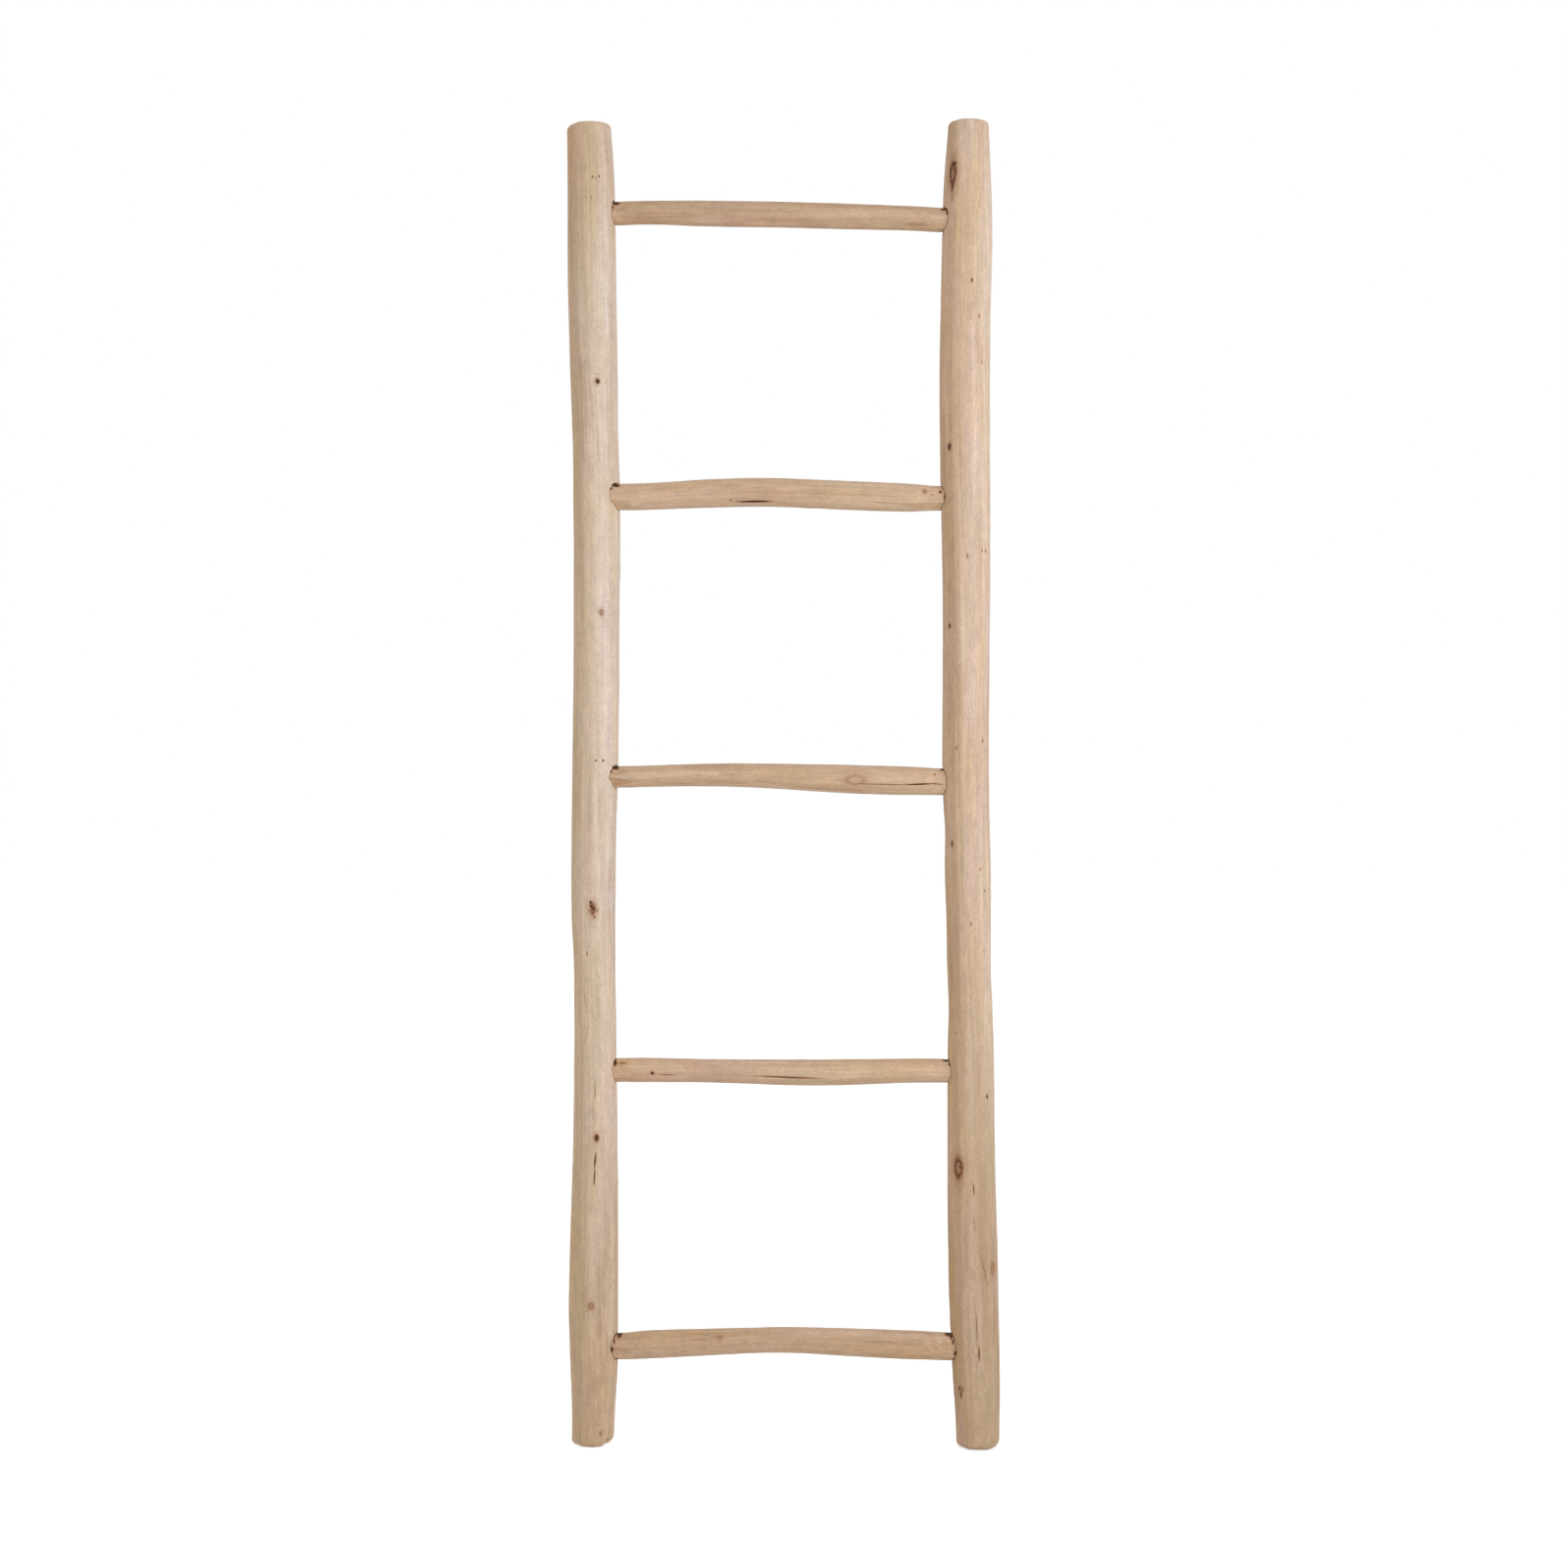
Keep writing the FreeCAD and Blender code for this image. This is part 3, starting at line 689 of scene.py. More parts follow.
def stile_pole(side):
    pole = Pole(f"{side}_stile", 2, STILE_TURNS, joint_heights(side), JOINT_CLEAR)
    pole.soften(STILE_SOFTNESS, EDGE_SOFTNESS)
    seed = 10 + SIDES.index(side)
    pole.roughen(0.00018, seed, 40, 9)
    pole.roughen(0.00008, seed + 5, 130, 26)
    for height, direction, growth, reach in SWELLINGS[pole.node]:
        along = np.exp(-(((pole.places - height) / reach) ** 2))[:, None]
        lobes = lobe(pole.turns, direction, SWELLING_SPREAD)
        pole.radii = pole.radii + growth * along * lobes
    return pole


def sawn_fall(pole, end, depth):
    """How far a sawn end falls away from square at some depth, back to front."""
    girth = 2 * pole.radii[(0, -1)[end]].mean()
    return END_SLOPES[pole.node][end] * (0.5 - depth / girth).clip(0, 1)


def end_rows(pole, end, seed):
    """Rows from the middle of a sawn end out over its rounded rim."""
    place = np.array([(pole.low, pole.high)[end]])
    inward = (1, -1)[end]
    rounding = np.full(len(pole.turns), END_ROUND)
    for direction, spread, more in END_WEAR[pole.node][end]:
        rounding += more * lobe(pole.turns, direction, spread)
    rounding *= 1 + END_UNEVEN * ripple(seed, 1, 17, (2, len(pole.turns)))[0]
    rounding += END_ROUGH * ripple(seed + 1, 1, 47, (2, len(pole.turns)))[0]
    radii = pole.radii_at(place)
    rows = [pole.skin(place, share * (radii - rounding))[0] for share in FACE_SHARES]
    for angle in np.radians(RIM_ANGLES):
        row = pole.skin(place, radii - rounding * (1 - math.sin(angle)))[0]
        row[:, 2] += inward * rounding * (1 - math.cos(angle))
        rows.append(row)
    rows = np.array(rows)
    fall = sawn_fall(pole, end, rows[..., 1])
    rows[..., 2] += inward * fall
    return rows, rounding + fall[-1]


def stile_rows(pole, seed):
    """The skin of a stile from the middle of its foot to the middle of its top."""
    foot, foot_round = end_rows(pole, 0, seed)
    top, top_round = end_rows(pole, 1, seed + 3)
    joints = joint_heights(pole.node.split("_")[0])
    places = spaced(pole.low, pole.high, joints, *STILE_STEPS)
    share = ((places - pole.low) / (pole.high - pole.low))[:, None]
    low = pole.low + foot_round * (1 - share) ** 8
    high = pole.high - top_round * share**8
    heights = low + (high - low) * share
    radii = pole.radius_at(heights, np.broadcast_to(pole.turns, heights.shape))
    return np.concatenate([foot, pole.skin(heights, radii), top[::-1]])


# The mortises' chipped upper lips from rung 1 up: direction (180 degrees is the front and 90
# the top), spread in degrees, depth, and how dark the rim is, painted shade of the gap and
# stain.
MOUTHS = {
    "left": [
        (122, 20, 0.0024, 0.5), (120, 18, 0.001, 0.1), (128, 20, 0.0018, 0.2),
        (118, 18, 0.0024, 0.15), (114, 18, 0.0026, 0.5),
    ],
    "right": [
        (126, 24, 0.0026, 0.5), (118, 20, 0.0024, 0.35), (120, 30, 0.0007, 0.5),
        (110, 24, 0.0008, 0.75), (122, 26, 0.0014, 0.65),
    ],
}
MOUTH_GAP = 0.00015  # between a rung and its mortise
STILE_HOLE_GAP, STILE_HOLE_REACH = 0.00015, 0.004  # round a peg and past its ends
# The mortise's rounds, from its bottom outwards: far apart inside, and close at the mouth.
MORTISE_REACH = np.concatenate([[-0.0009, 0.004, 0.010], np.arange(0.014, 0.062, 0.001)])
CHIP_FADE = 0.003  # depth over which a chip runs out
CHIP_ROUGH = 0.0002
LIP_SINK, LIP_FADE = 0.0007, 0.0016  # the skin's fall at a mouth, and how soon it ends

WALL_REACH = 0.0045  # a mortise's walls lie this near the rung's own skin
RIM_REACH, RIM_FADE = 0.0018, 0.0014
RIM_WAVES = 1500  # of the rim's patches of painted shade and stain, in radians to a metre
PEG_HOLE = 0.0042  # radius within which the pegs' holes get painted shade
# How dark the painted shade in the pegs' holes is
PEG_HOLE_SHADE = 0.8
MORTISE_SHADE_SPAN = (0.0006, 0.0022)  # under a stile's skin, where its mortises get painted shade


def mortise_shell(stile, rung_pole, side):
    """What a mortise takes away: the rung's own section, a little larger, and a chip."""
    number, turns = SIDES.index(side), rung_pole.turns
    places = (rung_pole.low, rung_pole.high)[number] + INWARD[side] * MORTISE_REACH
    radii = rung_pole.radii_at(places) + MOUTH_GAP
    depth = stile.depth(rung_pole.skin(places, radii).reshape(-1, 3)).reshape(radii.shape)
    rung = int(rung_pole.node[-1])
    direction, spread, deep, _ = MOUTHS[side][rung - 1]
    rough = 0.5 + 0.5 * ripple(40 + 2 * rung + number, 1, 19, (2, len(turns)))[0]
    chip = deep * lobe(turns, direction, spread) + CHIP_ROUGH * rough
    rows = rung_pole.skin(places, radii + chip * np.exp(-(depth.clip(0, 1) / CHIP_FADE)))
    return rows[:: INWARD[side]]


def worn_mouth(rows, mouths, side):
    """Lower the skin a little where it meets a mortise's mouth."""
    flat = rows.reshape(-1, 3)
    for rung_pole, place, _ in mouths:
        outside = -rung_pole.depth(flat)
        inner = step_up((flat[:, 0] - place) * INWARD[side], -0.002, 0.004)
        sink = LIP_SINK * np.exp(-((outside / LIP_FADE).clip(0, 9))) * inner
        flat[:, 0] -= INWARD[side] * sink
    return flat.reshape(rows.shape)


def keep_joint_shade_and_stain(piece, pole, side, mouths):
    """Write painted shade in the mortises and round the pegs, and the rims' darkness: painted
    shade of the gap and stain.
    """
    points = points_of(piece)
    depth = pole.depth(points)
    joint_shade_and_stain = np.zeros(len(points))
    for rung_pole, place, rim_darkness in mouths:
        outside = -rung_pole.depth(points)
        inner = (points[:, 0] - place) * INWARD[side] > 0
        walls = (outside < WALL_REACH) & inner
        joint_shade_and_stain = np.maximum(joint_shade_and_stain, walls * step_up(depth, *MORTISE_SHADE_SPAN))
        patches = 0.75 + 0.25 * np.sin(RIM_WAVES * points[:, 2])
        rim = rim_darkness * patches * step_up(RIM_REACH - outside, 0, RIM_FADE)
        joint_shade_and_stain = np.maximum(joint_shade_and_stain, rim * inner)
    for rung in RUNGS:
        middle = joint_middle(side, rung)
        away = np.hypot(points[:, 0] - middle.x, points[:, 2] - middle.z)
        near = (away < PEG_HOLE) & (depth > 0.0003) & (depth < 0.02)
        joint_shade_and_stain = np.maximum(joint_shade_and_stain, PEG_HOLE_SHADE * near)
    keep_on_points(piece, "joint_shade_and_stain", joint_shade_and_stain)


def keep_stile_tone(piece, pole, side):
    """Write a stile's painted shade on its left side, away from the lamp, and towards its foot
    and top, where the light falls off; and its sawn ends.
    """
    points = points_of(piece)
    seen = pole.straightened(points)
    turns = np.arctan2(seen[:, 1], seen[:, 0])
    side_shade_and_flat_share = lobe(turns, SHADED_SIDE, SHADED_SPREAD)
    heights = points[:, 2]
    # Painted shade towards the foot, less on the shaded side, and towards the top
    low = step_up(heights, *FOOT_SHADE_HEIGHTS[side]) * (1 - 0.6 * side_shade_and_flat_share)
    low = np.maximum(low, TOP_SHADE[side] * step_up(heights, *TOP_SHADE_SPAN))
    sawn = (heights < pole.low + SAWN_FOOT) | (heights > pole.high - SAWN_TOP)
    keep_tone(piece, side_shade_and_flat_share, low, sawn * 1.0)


def make_stile(side, rung_poles, material):
    pole = stile_pole(side)
    marks = marks_of(pole)
    number = SIDES.index(side)
    seed = 20 + 7 * number
    add_unseen_marks(pole, marks, seed + 2, 13, 90)
    rows = relief(stile_rows(pole, seed), pole, marks)
    mouths = []
    for rung, height in zip(RUNGS, joint_heights(side)):
        place = pole.middle_at(np.array([height]))[0][0]
        mouths.append((rung_poles[rung], place, MOUTHS[side][rung - 1][-1]))
    piece = new_wood(pole.node, worn_mouth(rows, mouths, side))
    cut(piece, [mortise_shell(pole, rung_poles[rung], side) for rung in RUNGS])
    cut(piece, [peg_rows(side, rung, STILE_HOLE_GAP, STILE_HOLE_REACH) for rung in RUNGS])
    keep_marks(piece, marks)
    keep_grain(piece, pole, marks, 1.7 + 2.3 * number)
    keep_joint_shade_and_stain(piece, pole, side, mouths)
    keep_stile_tone(piece, pole, side)
    finish(piece, pole.node, material)
    return pole


# --- pegs ---

THROUGH_PEG = ("right", 1)  # the one whose end shows in front, nearly square
PEG_TURNS = 40
PEG_BEVEL = 0.0004
PEG_PROUD = 0.0003  # past the solid's ends
PEG_ROUGH = 0.00012
PEG_HEAD = [(0, 0.3), (0, 0.75), (0, 0.93), (PEG_BEVEL, 1)]  # from the end, and girth


def squarish(half, turns):
    """Distance from the middle of the peg that shows to its nearly square skin."""
    wide, tall = half * 0.86, half * 1.08
    return ((abs(np.sin(turns)) / wide) ** 5 + (abs(np.cos(turns)) / tall) ** 5) ** -0.2


def peg_rows(side, rung, more, proud, seed=None):
    """A peg's skin along Y, from its front to its head at the back."""
    low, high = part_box(f"peg_{side}_{rung}")
    middle = (low + high) / 2
    half = (high.z - low.z) / 2 + more
    turns = np.arange(PEG_TURNS) * FULL_TURN / PEG_TURNS
    shows = (side, rung) == THROUGH_PEG
    radii = squarish(half, turns) if shows else np.full(PEG_TURNS, half)
    front = low.y - proud * shows
    back = high.y + proud
    stations = [(front + inset, share) for inset, share in PEG_HEAD]
    stations += [(front + share * (back - front), 1) for share in (0.25, 0.5, 0.75)]
    stations += [(back - inset, share) for inset, share in PEG_HEAD[::-1]]
    rows = np.zeros((len(stations), PEG_TURNS, 3))
    for row, (place, share) in zip(rows, stations):
        row[:, 0] = middle.x + radii * share * np.sin(turns)
        row[:, 1] = place
        row[:, 2] = middle.z + radii * share * np.cos(turns)
    if seed is not None:
        rows[..., 1] += PEG_ROUGH * ripple(seed, 10, 7, rows.shape[:2])
    return rows


def make_peg(side, rung, material):
    node = f"peg_{side}_{rung}"
    seed = 90 + rung + 10 * SIDES.index(side)
    piece = new_wood(node, peg_rows(side, rung, 0, PEG_PROUD, seed))
    middle = joint_middle(side, rung)
    points = points_of(piece)
    places = points[:, 1]
    grain = np.stack([points[:, 2] - middle.z, points[:, 0] - middle.x, places], -1)
    keep_on_points(piece, "grain", grain + np.array([0.004, 0.003, 0.37 * seed]))
    sawn = (places < places.min() + PEG_PROUD) | (places > places.max() - PEG_PROUD)
    keep_tone(piece, 0.0 * sawn, 0.0 * sawn, sawn * 1.0)
    finish(piece, node, material)


# --- rungs ---

RUNG_TURNS = 96
PEG_CLEAR = 0.006  # no rounds are read this near a peg's hole
RUNG_SOFTNESS = (0.003, 0.09)  # along the rung and round about
RUNG_STEPS = (0.001, 0.0028, 0.022)  # near the stiles, elsewhere, and what counts as near
TENON_ABOUT = 0.045  # from a tenon's tip to the stile's face, or nearly so
TIP_BEVEL = 0.0015
RUNG_HOLE_GAP = 0.0002  # round a peg
TIP_SHARES = (0.2, 0.5, 0.8)

# Rungs' ends whittled slimmer in one direction: rung, side, direction (180 degrees is the
# front and 90 the top), spread in degrees, and how much slimmer they are at the stile.
SLIMMED = [
    (1, "left", 185, 55, 0.003), (1, "left", 100, 45, 0.0016), (1, "right", 172, 55, 0.0052),
    (2, "left", 180, 55, 0.0013), (2, "right", 180, 55, 0.0034), (3, "left", 182, 60, 0.0014),
    (3, "right", 178, 60, 0.0046), (4, "left", 190, 50, 0.0024), (4, "right", 190, 60, 0.0036),
    (4, "right", 270, 40, 0.001), (5, "left", 185, 55, 0.0019), (5, "right", 180, 55, 0.0028),
]
SLIM_SPAN = (-0.036, 0.004)  # from outside a stile's face to inside it

# Flats cut on the ends: rung, side, direction, how far from the stile the flat starts, and
# how deep it is at the stile.
WHITTLED = [
    (1, "left", 195, 0.017, 0.0008), (3, "left", 155, 0.016, 0.0012),
    (3, "left", 208, 0.022, 0.0012), (4, "left", 222, 0.016, 0.0012),
    (4, "right", 222, 0.05, 0.0008),
]
FLAT_END = 1.25  # a flat's depth where it stops, as a share of its depth at the stile
LEAST_LEAN = 0.3  # cosine of how far round a flat may reach
SHOULDER_START = 0.012  # outside a stile, where the solids' rungs begin to narrow

# Painted shade of each rung: the top and bottom ones darker, where the light falls off
RUNG_SHADE = {1: 0.9, 2: 0.35, 3: 0.4, 4: 0.25, 5: 0.95}


def shaped_rung(rung):
    pegs = [joint_middle(side, rung).x for side in SIDES]
    pole = Pole(f"rung_{rung}", 0, RUNG_TURNS, pegs, PEG_CLEAR)
    pole.soften(*RUNG_SOFTNESS)
    pole.roughen(0.00015, 60 + rung, 14, 8)
    pole.roughen(0.00007, 70 + rung, 40, 22)
    return pole


def whittle(pole, rung, faces):
    """Keep a rung's girth up to the stiles, and cut sloping flats on its ends."""
    past = {side: (faces[side] - pole.places) * INWARD[side] for side in SIDES}
    for side in SIDES:
        full = pole.radii[abs(past[side] + SHOULDER_START).argmin()]
        filled = np.maximum(pole.radii, full)
        pole.radii = np.where((past[side] > -SHOULDER_START)[:, None], filled, pole.radii)
    for number, side, direction, spread, slimmer in SLIMMED:
        if number == rung:
            share = step_up(past[side], *SLIM_SPAN)[:, None]
            pole.radii = pole.radii - slimmer * share * lobe(pole.turns, direction, spread)
    round_radii = pole.radii
    for number, side, direction, reach, deep in WHITTLED:
        if number == rung:
            start = past[side] + reach
            sunk = deep * (start / reach).clip(0, FLAT_END)
            apart = apart_from(pole.turns, direction)
            lean = np.cos(apart).clip(LEAST_LEAN, 1)
            here = round_radii[:, abs(apart).argmin()]
            flat = (here - sunk)[:, None] / lean[None, :]
            cutting = (start > 0)[:, None] & (lean > LEAST_LEAN)[None, :]
            pole.radii = np.where(cutting, np.minimum(pole.radii, flat), pole.radii)
    pole.whittled = round_radii - pole.radii


def inner_face(side, rung):
    """Where a stile's inner side lies at a rung, along X."""
    middle = joint_middle(side, rung)
    turn = (0, math.pi)[SIDES.index(side)]
    return stile_faces[side].hit(middle.z + JOINT_CLEAR, turn, (middle.x, middle.y)).x


def tip_rows(pole, place, end):
    """Rows from the middle of a tenon's tip out to its bevel."""
    radii = pole.radii_at(place)
    rows = np.concatenate([pole.skin(place, radii * share) for share in TIP_SHARES])
    rows[..., 0] = end
    return rows


def rung_rows(pole):
    """A rung from tenon tip to tenon tip."""
    faces = [pole.low + TENON_ABOUT, pole.high - TENON_ABOUT]
    places = spaced(pole.low + TIP_BEVEL, pole.high - TIP_BEVEL, faces, *RUNG_STEPS)
    left = tip_rows(pole, places[:1], pole.low)
    right = tip_rows(pole, places[-1:], pole.high)
    return np.concatenate([left, pole.skin(places), right[::-1]])


def make_rung(rung, pole, stiles, material):
    marks = marks_of(pole)
    add_unseen_marks(pole, marks, 110 + rung, 4, 0)
    piece = new_wood(pole.node, relief(rung_rows(pole), pole, marks))
    cut(piece, [peg_rows(side, rung, RUNG_HOLE_GAP, 0) for side in SIDES])
    keep_marks(piece, marks)
    keep_grain(piece, pole, marks, 5.1 + 0.83 * rung)
    points = points_of(piece)
    depth = np.maximum(stiles[0].depth(points), stiles[1].depth(points))
    # Painted shade on the rung where it runs into the stiles
    keep_on_points(piece, "joint_shade_and_stain", step_up(depth, -0.0002, 0.0012))
    sawn = (points[:, 0] < pole.low + 0.001) | (points[:, 0] > pole.high - 0.001)
    darkness = np.full(len(points), RUNG_SHADE[rung])
    keep_tone(piece, pole.flatness(points), darkness, sawn * 1.0)
    finish(piece, pole.node, material)


# --- materials ---


def colour(code):
    """Linear colour from a web colour such as #d3bda9."""
    parts = np.array([int(code[start : start + 2], 16) for start in (1, 3, 5)]) / 255
    linear = np.where(parts <= 0.04045, parts / 12.92, ((parts + 0.055) / 1.055) ** 2.4)
    return (*linear.tolist(), 1)


class Graph:
    """Short names for adding the nodes of one material or of the world."""

    def __init__(self, owner):
        owner.use_nodes = True
        self.tree = owner.node_tree
        self.tree.nodes.clear()

    def add(self, kind, inputs, **settings):
        node = self.tree.nodes.new(kind)
        for name, value in settings.items():
            setattr(node, name, value)
        for name, value in inputs.items():
            if isinstance(value, bpy.types.NodeSocket):
                self.tree.links.new(value, node.inputs[name])
            else:
                node.inputs[name].default_value = value
        return node

    def math(self, operation, *values):
        inputs = dict(enumerate(values))
        return self.add("ShaderNodeMath", inputs, operation=operation).outputs[0]

    def vector(self, operation, *values):
        inputs = dict(enumerate(values))
        return self.add("ShaderNodeVectorMath", inputs, operation=operation).outputs[0]

    def length(self, vector):
        node = self.add("ShaderNodeVectorMath", {0: vector}, operation="LENGTH")
        return node.outputs["Value"]

    def parts(self, vector):
        return self.add("ShaderNodeSeparateXYZ", {0: vector}).outputs

    def joined(self, first, second, third):
        return self.add("ShaderNodeCombineXYZ", {0: first, 1: second, 2: third}).outputs[0]

    def kept(self, name, output="Vector"):
        node = self.add("ShaderNodeAttribute", {}, attribute_name=name)
        return node.outputs[output]

    def noise(self, place, across, along, detail=3.0, roughness=0.55):
        """Noise with so many hills to a metre across the grain and along it."""
        stretched = self.vector("MULTIPLY", place, (across, across, along))
        inputs = {"Vector": stretched, "Scale": 1.0, "Detail": detail, "Roughness": roughness}
        return self.add("ShaderNodeTexNoise", inputs).outputs["Fac"]

    def ramp(self, factor, stops):
        """A ramp through stops of position and grey or colour."""
        node = self.add("ShaderNodeValToRGB", {"Fac": factor})
        elements = node.color_ramp.elements
        while len(elements) < len(stops):
            elements.new(0.5)
        for element, (position, value) in zip(elements, stops):
            element.position = position
            element.color = value if isinstance(value, tuple) else (value, value, value, 1)
        return node.outputs["Color"]

    def mix(self, factor, first, second, mode="MIX"):
        inputs = {0: factor, 6: first, 7: second}
        node = self.add("ShaderNodeMix", inputs, data_type="RGBA", blend_type=mode)
        return node.outputs[2]


# Pale and deep wood, pink and ochre patches, the tint of the painted shade on the stiles' left
# side (on rungs, of the whittled flats), and the tint of the other painted shade.
WOOD_COLOURS = {
    "left_stile_wood": "#e5d4c7 #d1bba8 #e6d0c3 #dcc8ab #fdefd6 #e5d7c3",
    "right_stile_wood": "#e2cab6 #ceb098 #e4c8bd #dabd98 #fdf3e0 #d9d4c1",
    "rung_wood": "#dfc3a6 #cdab8b #dbbaa3 #d6b58e #f1ebe0 #efebe6",
    "peg_wood": "#d9c2a4 #c3a27e #d3b69c #ceb188 #ffffff #ffffff",
}

# Figure along the grain: strength, its noise (hills across and along, detail, roughness), and
# the ramp that the noise runs through.
FIGURE = {
    "streak": (0.52, (330, 6.5, 4, 0.6), [(0.3, 0.78), (0.65, 1.14)]),
    "fibre": (0.5, (1500, 34, 3, 0.6), [(0.3, 0.82), (0.65, 1.1)]),
    "fleck": (0.8, (620, 230, 3, 0.65), [(0.3, 0.84), (0.7, 1.14)]),
    "blotch": (0.6, (120, 60, 3), [(0.35, 0.9), (0.65, 1.08)]),
    "pores": (0.4, (2600, 190, 1), [(0.3, 0.7), (0.4, 1)]),
}

# How dark a knot, a ring and a scar are from their middles outwards.
KNOT_STOPS = [(0, 1), (0.22, 0.95), (0.34, 0.45), (0.5, 0.08), (0.8, 0)]
RING_STOPS = [(0, 0.4), (0.1, 0.25), (0.17, 0.35), (0.27, 1), (0.35, 0.5), (0.5, 0.08), (0.8, 0)]
SCAR_STOPS = [(0.16, 1), (0.34, 0.6), (0.6, 0)]
HALO_STOPS = [(0.3, 0.7), (0.95, 0)]

KNOT_HALO = colour("#b98c66")
RUST_BROWN = colour("#935c34")
KNOT_BROWN = colour("#5e3212")
DARK_BROWN = colour("#25150a")
# The colour of the painted shade in the joints and of the stain on their rims
JOINT_SHADE_AND_STAIN_BROWN = colour("#54331c")
MARK_SPAN = 3.3  # half sizes over which a mark fades out
RING_WIDTH = 0.0021
RING_DRIFT = 0.02


def mark_measure(graph, name, fineness, wobble):
    """How far out a point lies in a mark, as a share of its span, and its darkness."""
    across, along, darkness = graph.parts(graph.kept(name))
    away = graph.length(graph.joined(across, along, 0.0))
    rough = graph.noise(graph.kept("grain"), fineness, fineness / 1.8, 2.0)
    uneven = graph.math("MULTIPLY", graph.math("SUBTRACT", rough, 0.5), wobble)
    return graph.math("DIVIDE", graph.math("ADD", away, uneven), MARK_SPAN), darkness


def stained(graph, base, strength):
    """Darken by way of rust and brown, as tannin does. The joints' pits use it for painted
    shade.
    """
    for tint, stops in [
        (RUST_BROWN, [(0, 0), (0.36, 0.85)]),
        (KNOT_BROWN, [(0.26, 0), (0.66, 1)]),
        (DARK_BROWN, [(0.6, 0), (0.92, 1)]),
    ]:
        base = graph.mix(graph.ramp(strength, stops), base, tint)
    return base


def stained_mark(graph, base, depth, shade, darkness):
    """Stain a mark, and add its depth to that of the marks before it."""
    strength = graph.math("MULTIPLY", shade, darkness)
    return stained(graph, base, strength), graph.math("ADD", depth, strength)


def knotted(graph, base, depth):
    away, darkness = mark_measure(graph, "knot", 600, 0.8)
    solid, ringed = graph.ramp(away, KNOT_STOPS), graph.ramp(away, RING_STOPS)
    shade = graph.mix(graph.kept("ring", "Fac"), solid, ringed)
    halo = graph.math("MULTIPLY", graph.ramp(away, HALO_STOPS), darkness)
    base = graph.mix(halo, base, KNOT_HALO)
    return stained_mark(graph, base, depth, shade, darkness)


def scarred(graph, base, depth, name):
    away, darkness = mark_measure(graph, name, 900, 0.9)
    return stained_mark(graph, base, depth, graph.ramp(away, SCAR_STOPS), darkness)


def patched(graph, grain, pale, deep, pink, ochre):
    """Broad streaks of pale and deep wood, with pink and ochre patches."""
    broad = graph.noise(grain, 70, 2.6, 3)
    base = graph.mix(graph.ramp(broad, [(0.36, 0), (0.62, 1)]), deep, pale)
    rosy = graph.noise(grain, 34, 5.5, 1.5)
    base = graph.mix(graph.ramp(rosy, [(0.42, 0), (0.71, 0.8)]), base, pink)
    tawny = graph.noise(graph.vector("ADD", grain, (3.1, 1.7, 2.2)), 55, 6, 1.5)
    return graph.mix(graph.ramp(tawny, [(0.43, 0), (0.72, 0.85)]), base, ochre)


def ringed_by_years(graph, grain, base, deep, cut):
    """Faint year rings, stronger where the wood is cut across."""
    first, second, _ = graph.parts(grain)
    drift = graph.math("MULTIPLY", graph.noise(grain, 14, 3, 2), RING_DRIFT)
    rings = graph.math("ADD", graph.length(graph.joined(first, second, 0)), drift)
    wave = graph.math("SINE", graph.math("MULTIPLY", rings, FULL_TURN / RING_WIDTH))
    line = graph.ramp(graph.math("MULTIPLY_ADD", wave, 0.5, 0.5), [(0.3, 0), (0.5, 1)])
    shown = graph.ramp(graph.noise(grain, 25, 6, 2), [(0.48, 0), (0.7, 0.22)])
    shown = graph.math("MAXIMUM", shown, cut)
    return graph.mix(graph.math("MULTIPLY", line, shown), base, deep, "MULTIPLY")


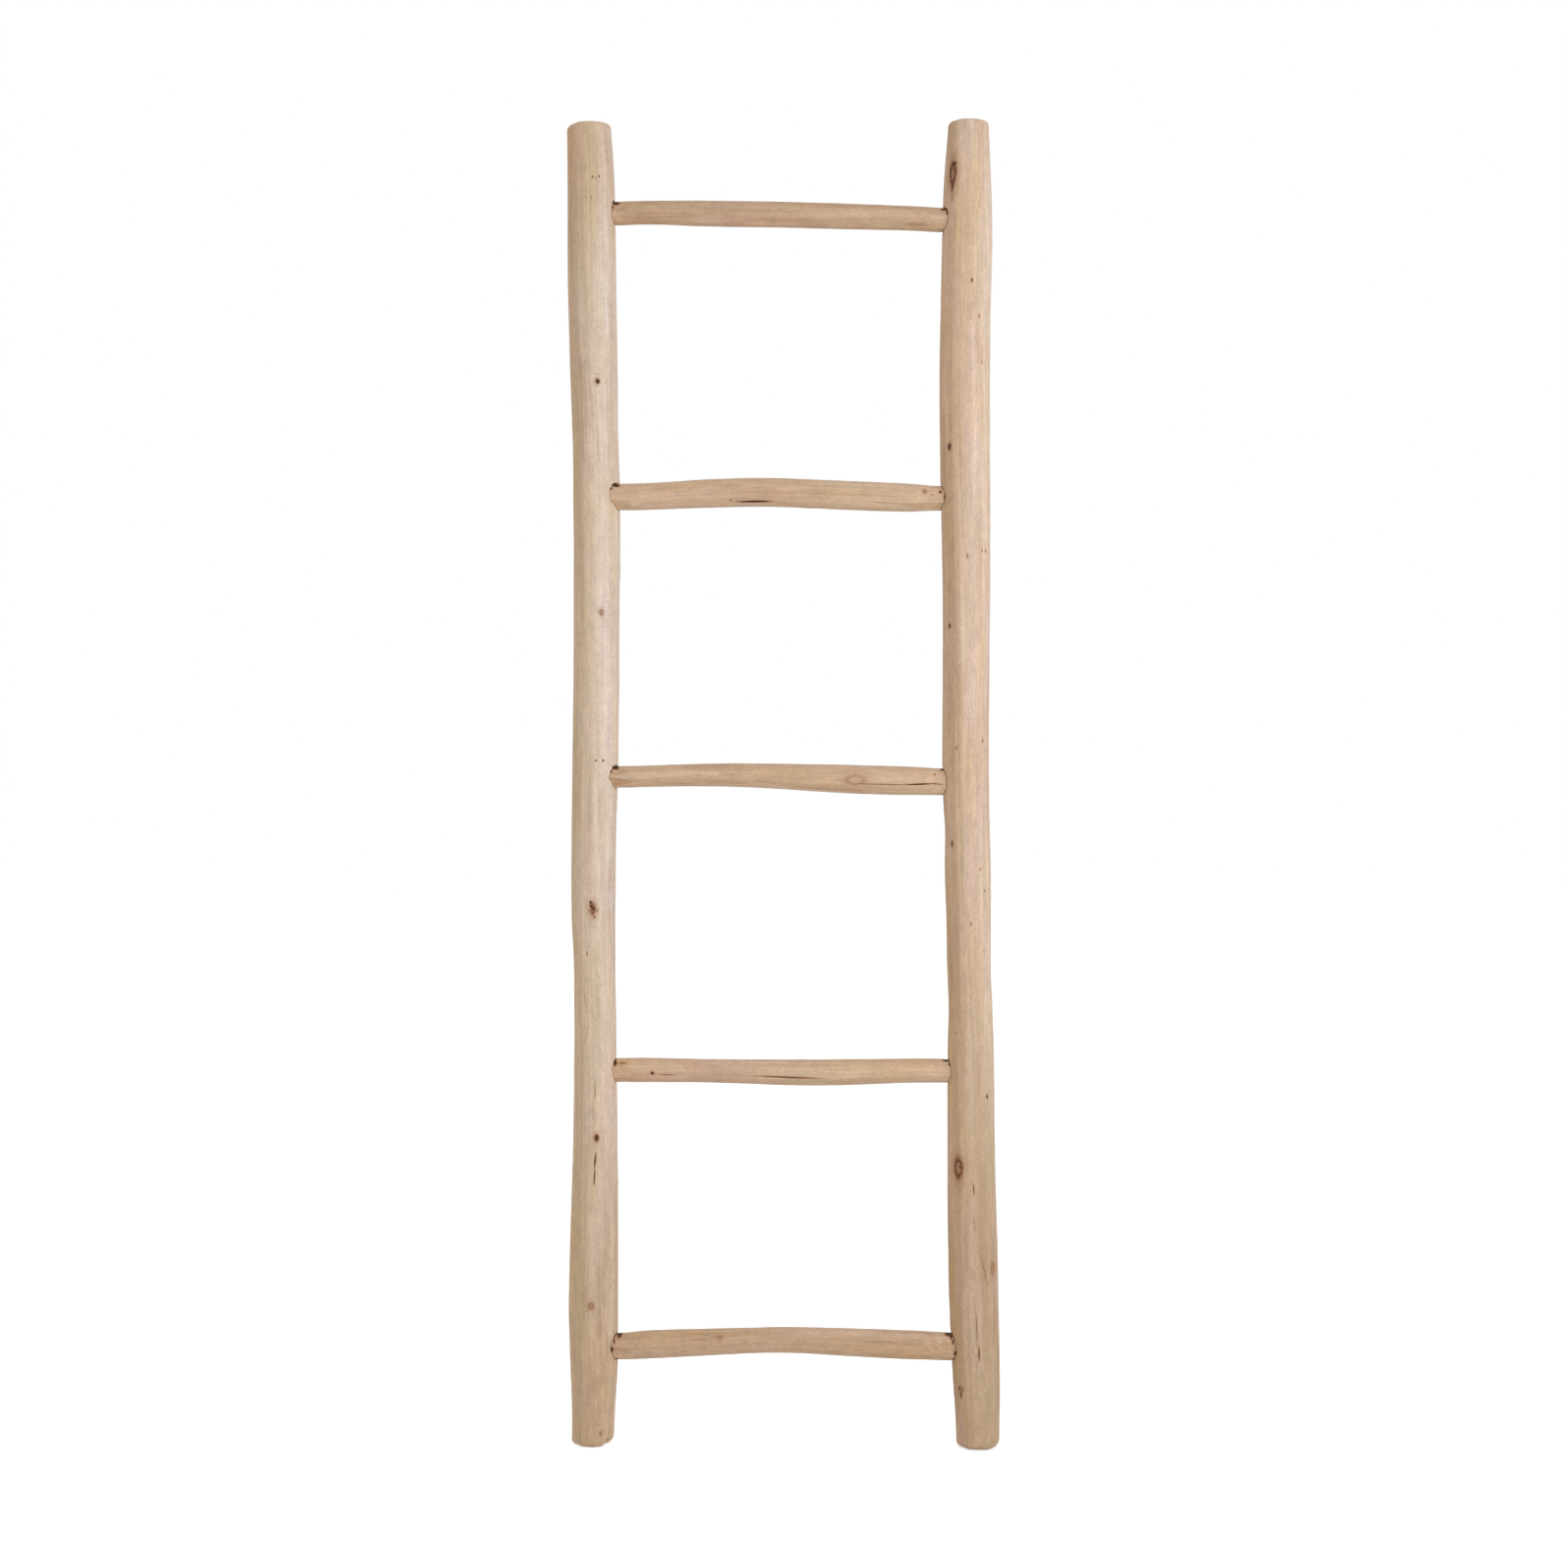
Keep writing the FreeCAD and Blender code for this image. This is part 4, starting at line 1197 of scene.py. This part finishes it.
def wood(name, marked=True):
    """Raw sanded wood: streaks along the grain, cut rings, fibres, knots and cracks, with
    painted shade at the joints, on the stiles' left side and where the light falls off.
    """
    material = bpy.data.materials.new(name)
    graph = Graph(material)
    colours = [colour(code) for code in WOOD_COLOURS[name].split()]
    pale, deep, pink, ochre, side_shade_and_flat, foot = colours
    grain = graph.kept("grain")
    side_shade_and_flat_share, low, sawn = graph.parts(graph.kept("tone"))
    base = patched(graph, grain, pale, deep, pink, ochre)
    # Painted shade on the stiles' left side, away from the lamp; on rungs, the tint of their
    # whittled flats
    base = graph.mix(side_shade_and_flat_share, base, side_shade_and_flat, "MULTIPLY")
    # Painted shade towards the stiles' foot and top, and on the top and bottom rungs, where the
    # light falls off
    base = graph.mix(low, base, foot, "MULTIPLY")
    cut = graph.math("MULTIPLY", sawn, 0.55 if marked else 0.2)
    base = ringed_by_years(graph, grain, base, deep, cut)
    noises, ramps = {}, {}
    for figure, (strength, hills, stops) in FIGURE.items():
        noises[figure] = graph.noise(grain, *hills)
        ramps[figure] = graph.ramp(noises[figure], stops)
        base = graph.mix(strength, base, ramps[figure], "MULTIPLY")
    fibre = noises["fibre"]
    height = graph.math("ADD", graph.math("MULTIPLY", fibre, 0.6), ramps["streak"])
    if marked:
        base, depth = knotted(graph, base, 0)
        for layer in SCAR_LAYERS:
            base, depth = scarred(graph, base, depth, layer)
        # Painted shade in the mortises, the pegs' holes and on the rungs' hidden ends, with
        # stain on the rims
        base = graph.mix(graph.kept("joint_shade_and_stain", "Fac"), base, JOINT_SHADE_AND_STAIN_BROWN)
        height = graph.math("SUBTRACT", height, graph.math("MULTIPLY", depth, 1.5))
    inputs = {"Strength": 0.35, "Distance": 0.0003, "Height": height}
    bump = graph.add("ShaderNodeBump", inputs)
    roughness = graph.ramp(fibre, [(0.3, 0.78), (0.7, 0.62)])
    inputs = {"Base Color": base, "Roughness": roughness, "Normal": bump.outputs[0]}
    inputs["Specular IOR Level"] = 0.5
    shader = graph.add("ShaderNodeBsdfPrincipled", inputs)
    graph.add("ShaderNodeOutputMaterial", {"Surface": shader.outputs[0]})
    return material


# --- floor, light and background ---

WHITE = (1, 1, 1, 1)
FLOOR_HALF = 15
FLOOR_CORNERS = [(-1, -1), (1, -1), (1, 1), (-1, 1)]
FLOOR_GLOW = 0.62
SKY_LIGHT = 0.66  # the white background lights less than it shows


def seen_directly(graph):
    """1 for what the camera sees straight, mirrored or through glass."""
    path = graph.add("ShaderNodeLightPath", {}).outputs
    total = graph.math("MAXIMUM", path["Is Camera Ray"], path["Is Glossy Ray"])
    return graph.math("MAXIMUM", total, path["Is Transmission Ray"])


def make_floor():
    material = bpy.data.materials.new("floor_white")
    graph = Graph(material)
    diffuse = graph.add("ShaderNodeBsdfDiffuse", {"Color": (0.8, 0.8, 0.8, 1)})
    strength = graph.math("MULTIPLY", seen_directly(graph), FLOOR_GLOW)
    glow = graph.add("ShaderNodeEmission", {"Color": WHITE, "Strength": strength})
    both = graph.add("ShaderNodeAddShader", {0: diffuse.outputs[0], 1: glow.outputs[0]})
    graph.add("ShaderNodeOutputMaterial", {"Surface": both.outputs[0]})
    mesh = bpy.data.meshes.new("floor")
    corners = [(x * FLOOR_HALF, y * FLOOR_HALF, 0) for x, y in FLOOR_CORNERS]
    mesh.from_pydata(corners, [], [(0, 1, 2, 3)])
    mesh.materials.append(material)
    new_object("floor", mesh)


def make_world():
    scene.world = bpy.data.worlds.new("studio")
    graph = Graph(scene.world)
    inputs = {"Value": seen_directly(graph), "To Min": SKY_LIGHT, "To Max": 1}
    strength = graph.add("ShaderNodeMapRange", inputs).outputs[0]
    sky = graph.add("ShaderNodeBackground", {"Color": WHITE, "Strength": strength})
    graph.add("ShaderNodeOutputWorld", {"Surface": sky.outputs[0]})


def make_lamp(name, place, aim, size, power):
    data = bpy.data.lights.new(name, "AREA")
    data.shape = "SQUARE"
    data.size = size
    data.energy = power
    lamp = new_object(name, data)
    lamp.location = place
    lamp.rotation_euler = (Vector(aim) - Vector(place)).to_track_quat("-Z", "Y").to_euler()


# --- the scene ---

make_camera()
make_world()
make_floor()
make_lamp("key", (1.9, -2.4, 1.1), (0, 0, 0.75), 1.8, 37)

stile_materials = {side: wood(f"{side}_stile_wood") for side in SIDES}
rung_material = wood("rung_wood")
peg_material = wood("peg_wood", marked=False)

stile_faces = {}
for side in SIDES:
    stile_faces[side] = Pole(f"{side}_stile", 2, 4, joint_heights(side), JOINT_CLEAR)
rung_poles = {}
for rung in RUNGS:
    rung_poles[rung] = shaped_rung(rung)
    whittle(rung_poles[rung], rung, {side: inner_face(side, rung) for side in SIDES})
stiles = [make_stile(side, rung_poles, stile_materials[side]) for side in SIDES]
for rung in RUNGS:
    make_rung(rung, rung_poles[rung], stiles, rung_material)
for side in SIDES:
    for rung in RUNGS:
        make_peg(side, rung, peg_material)

scene.view_settings.view_transform = "Standard"
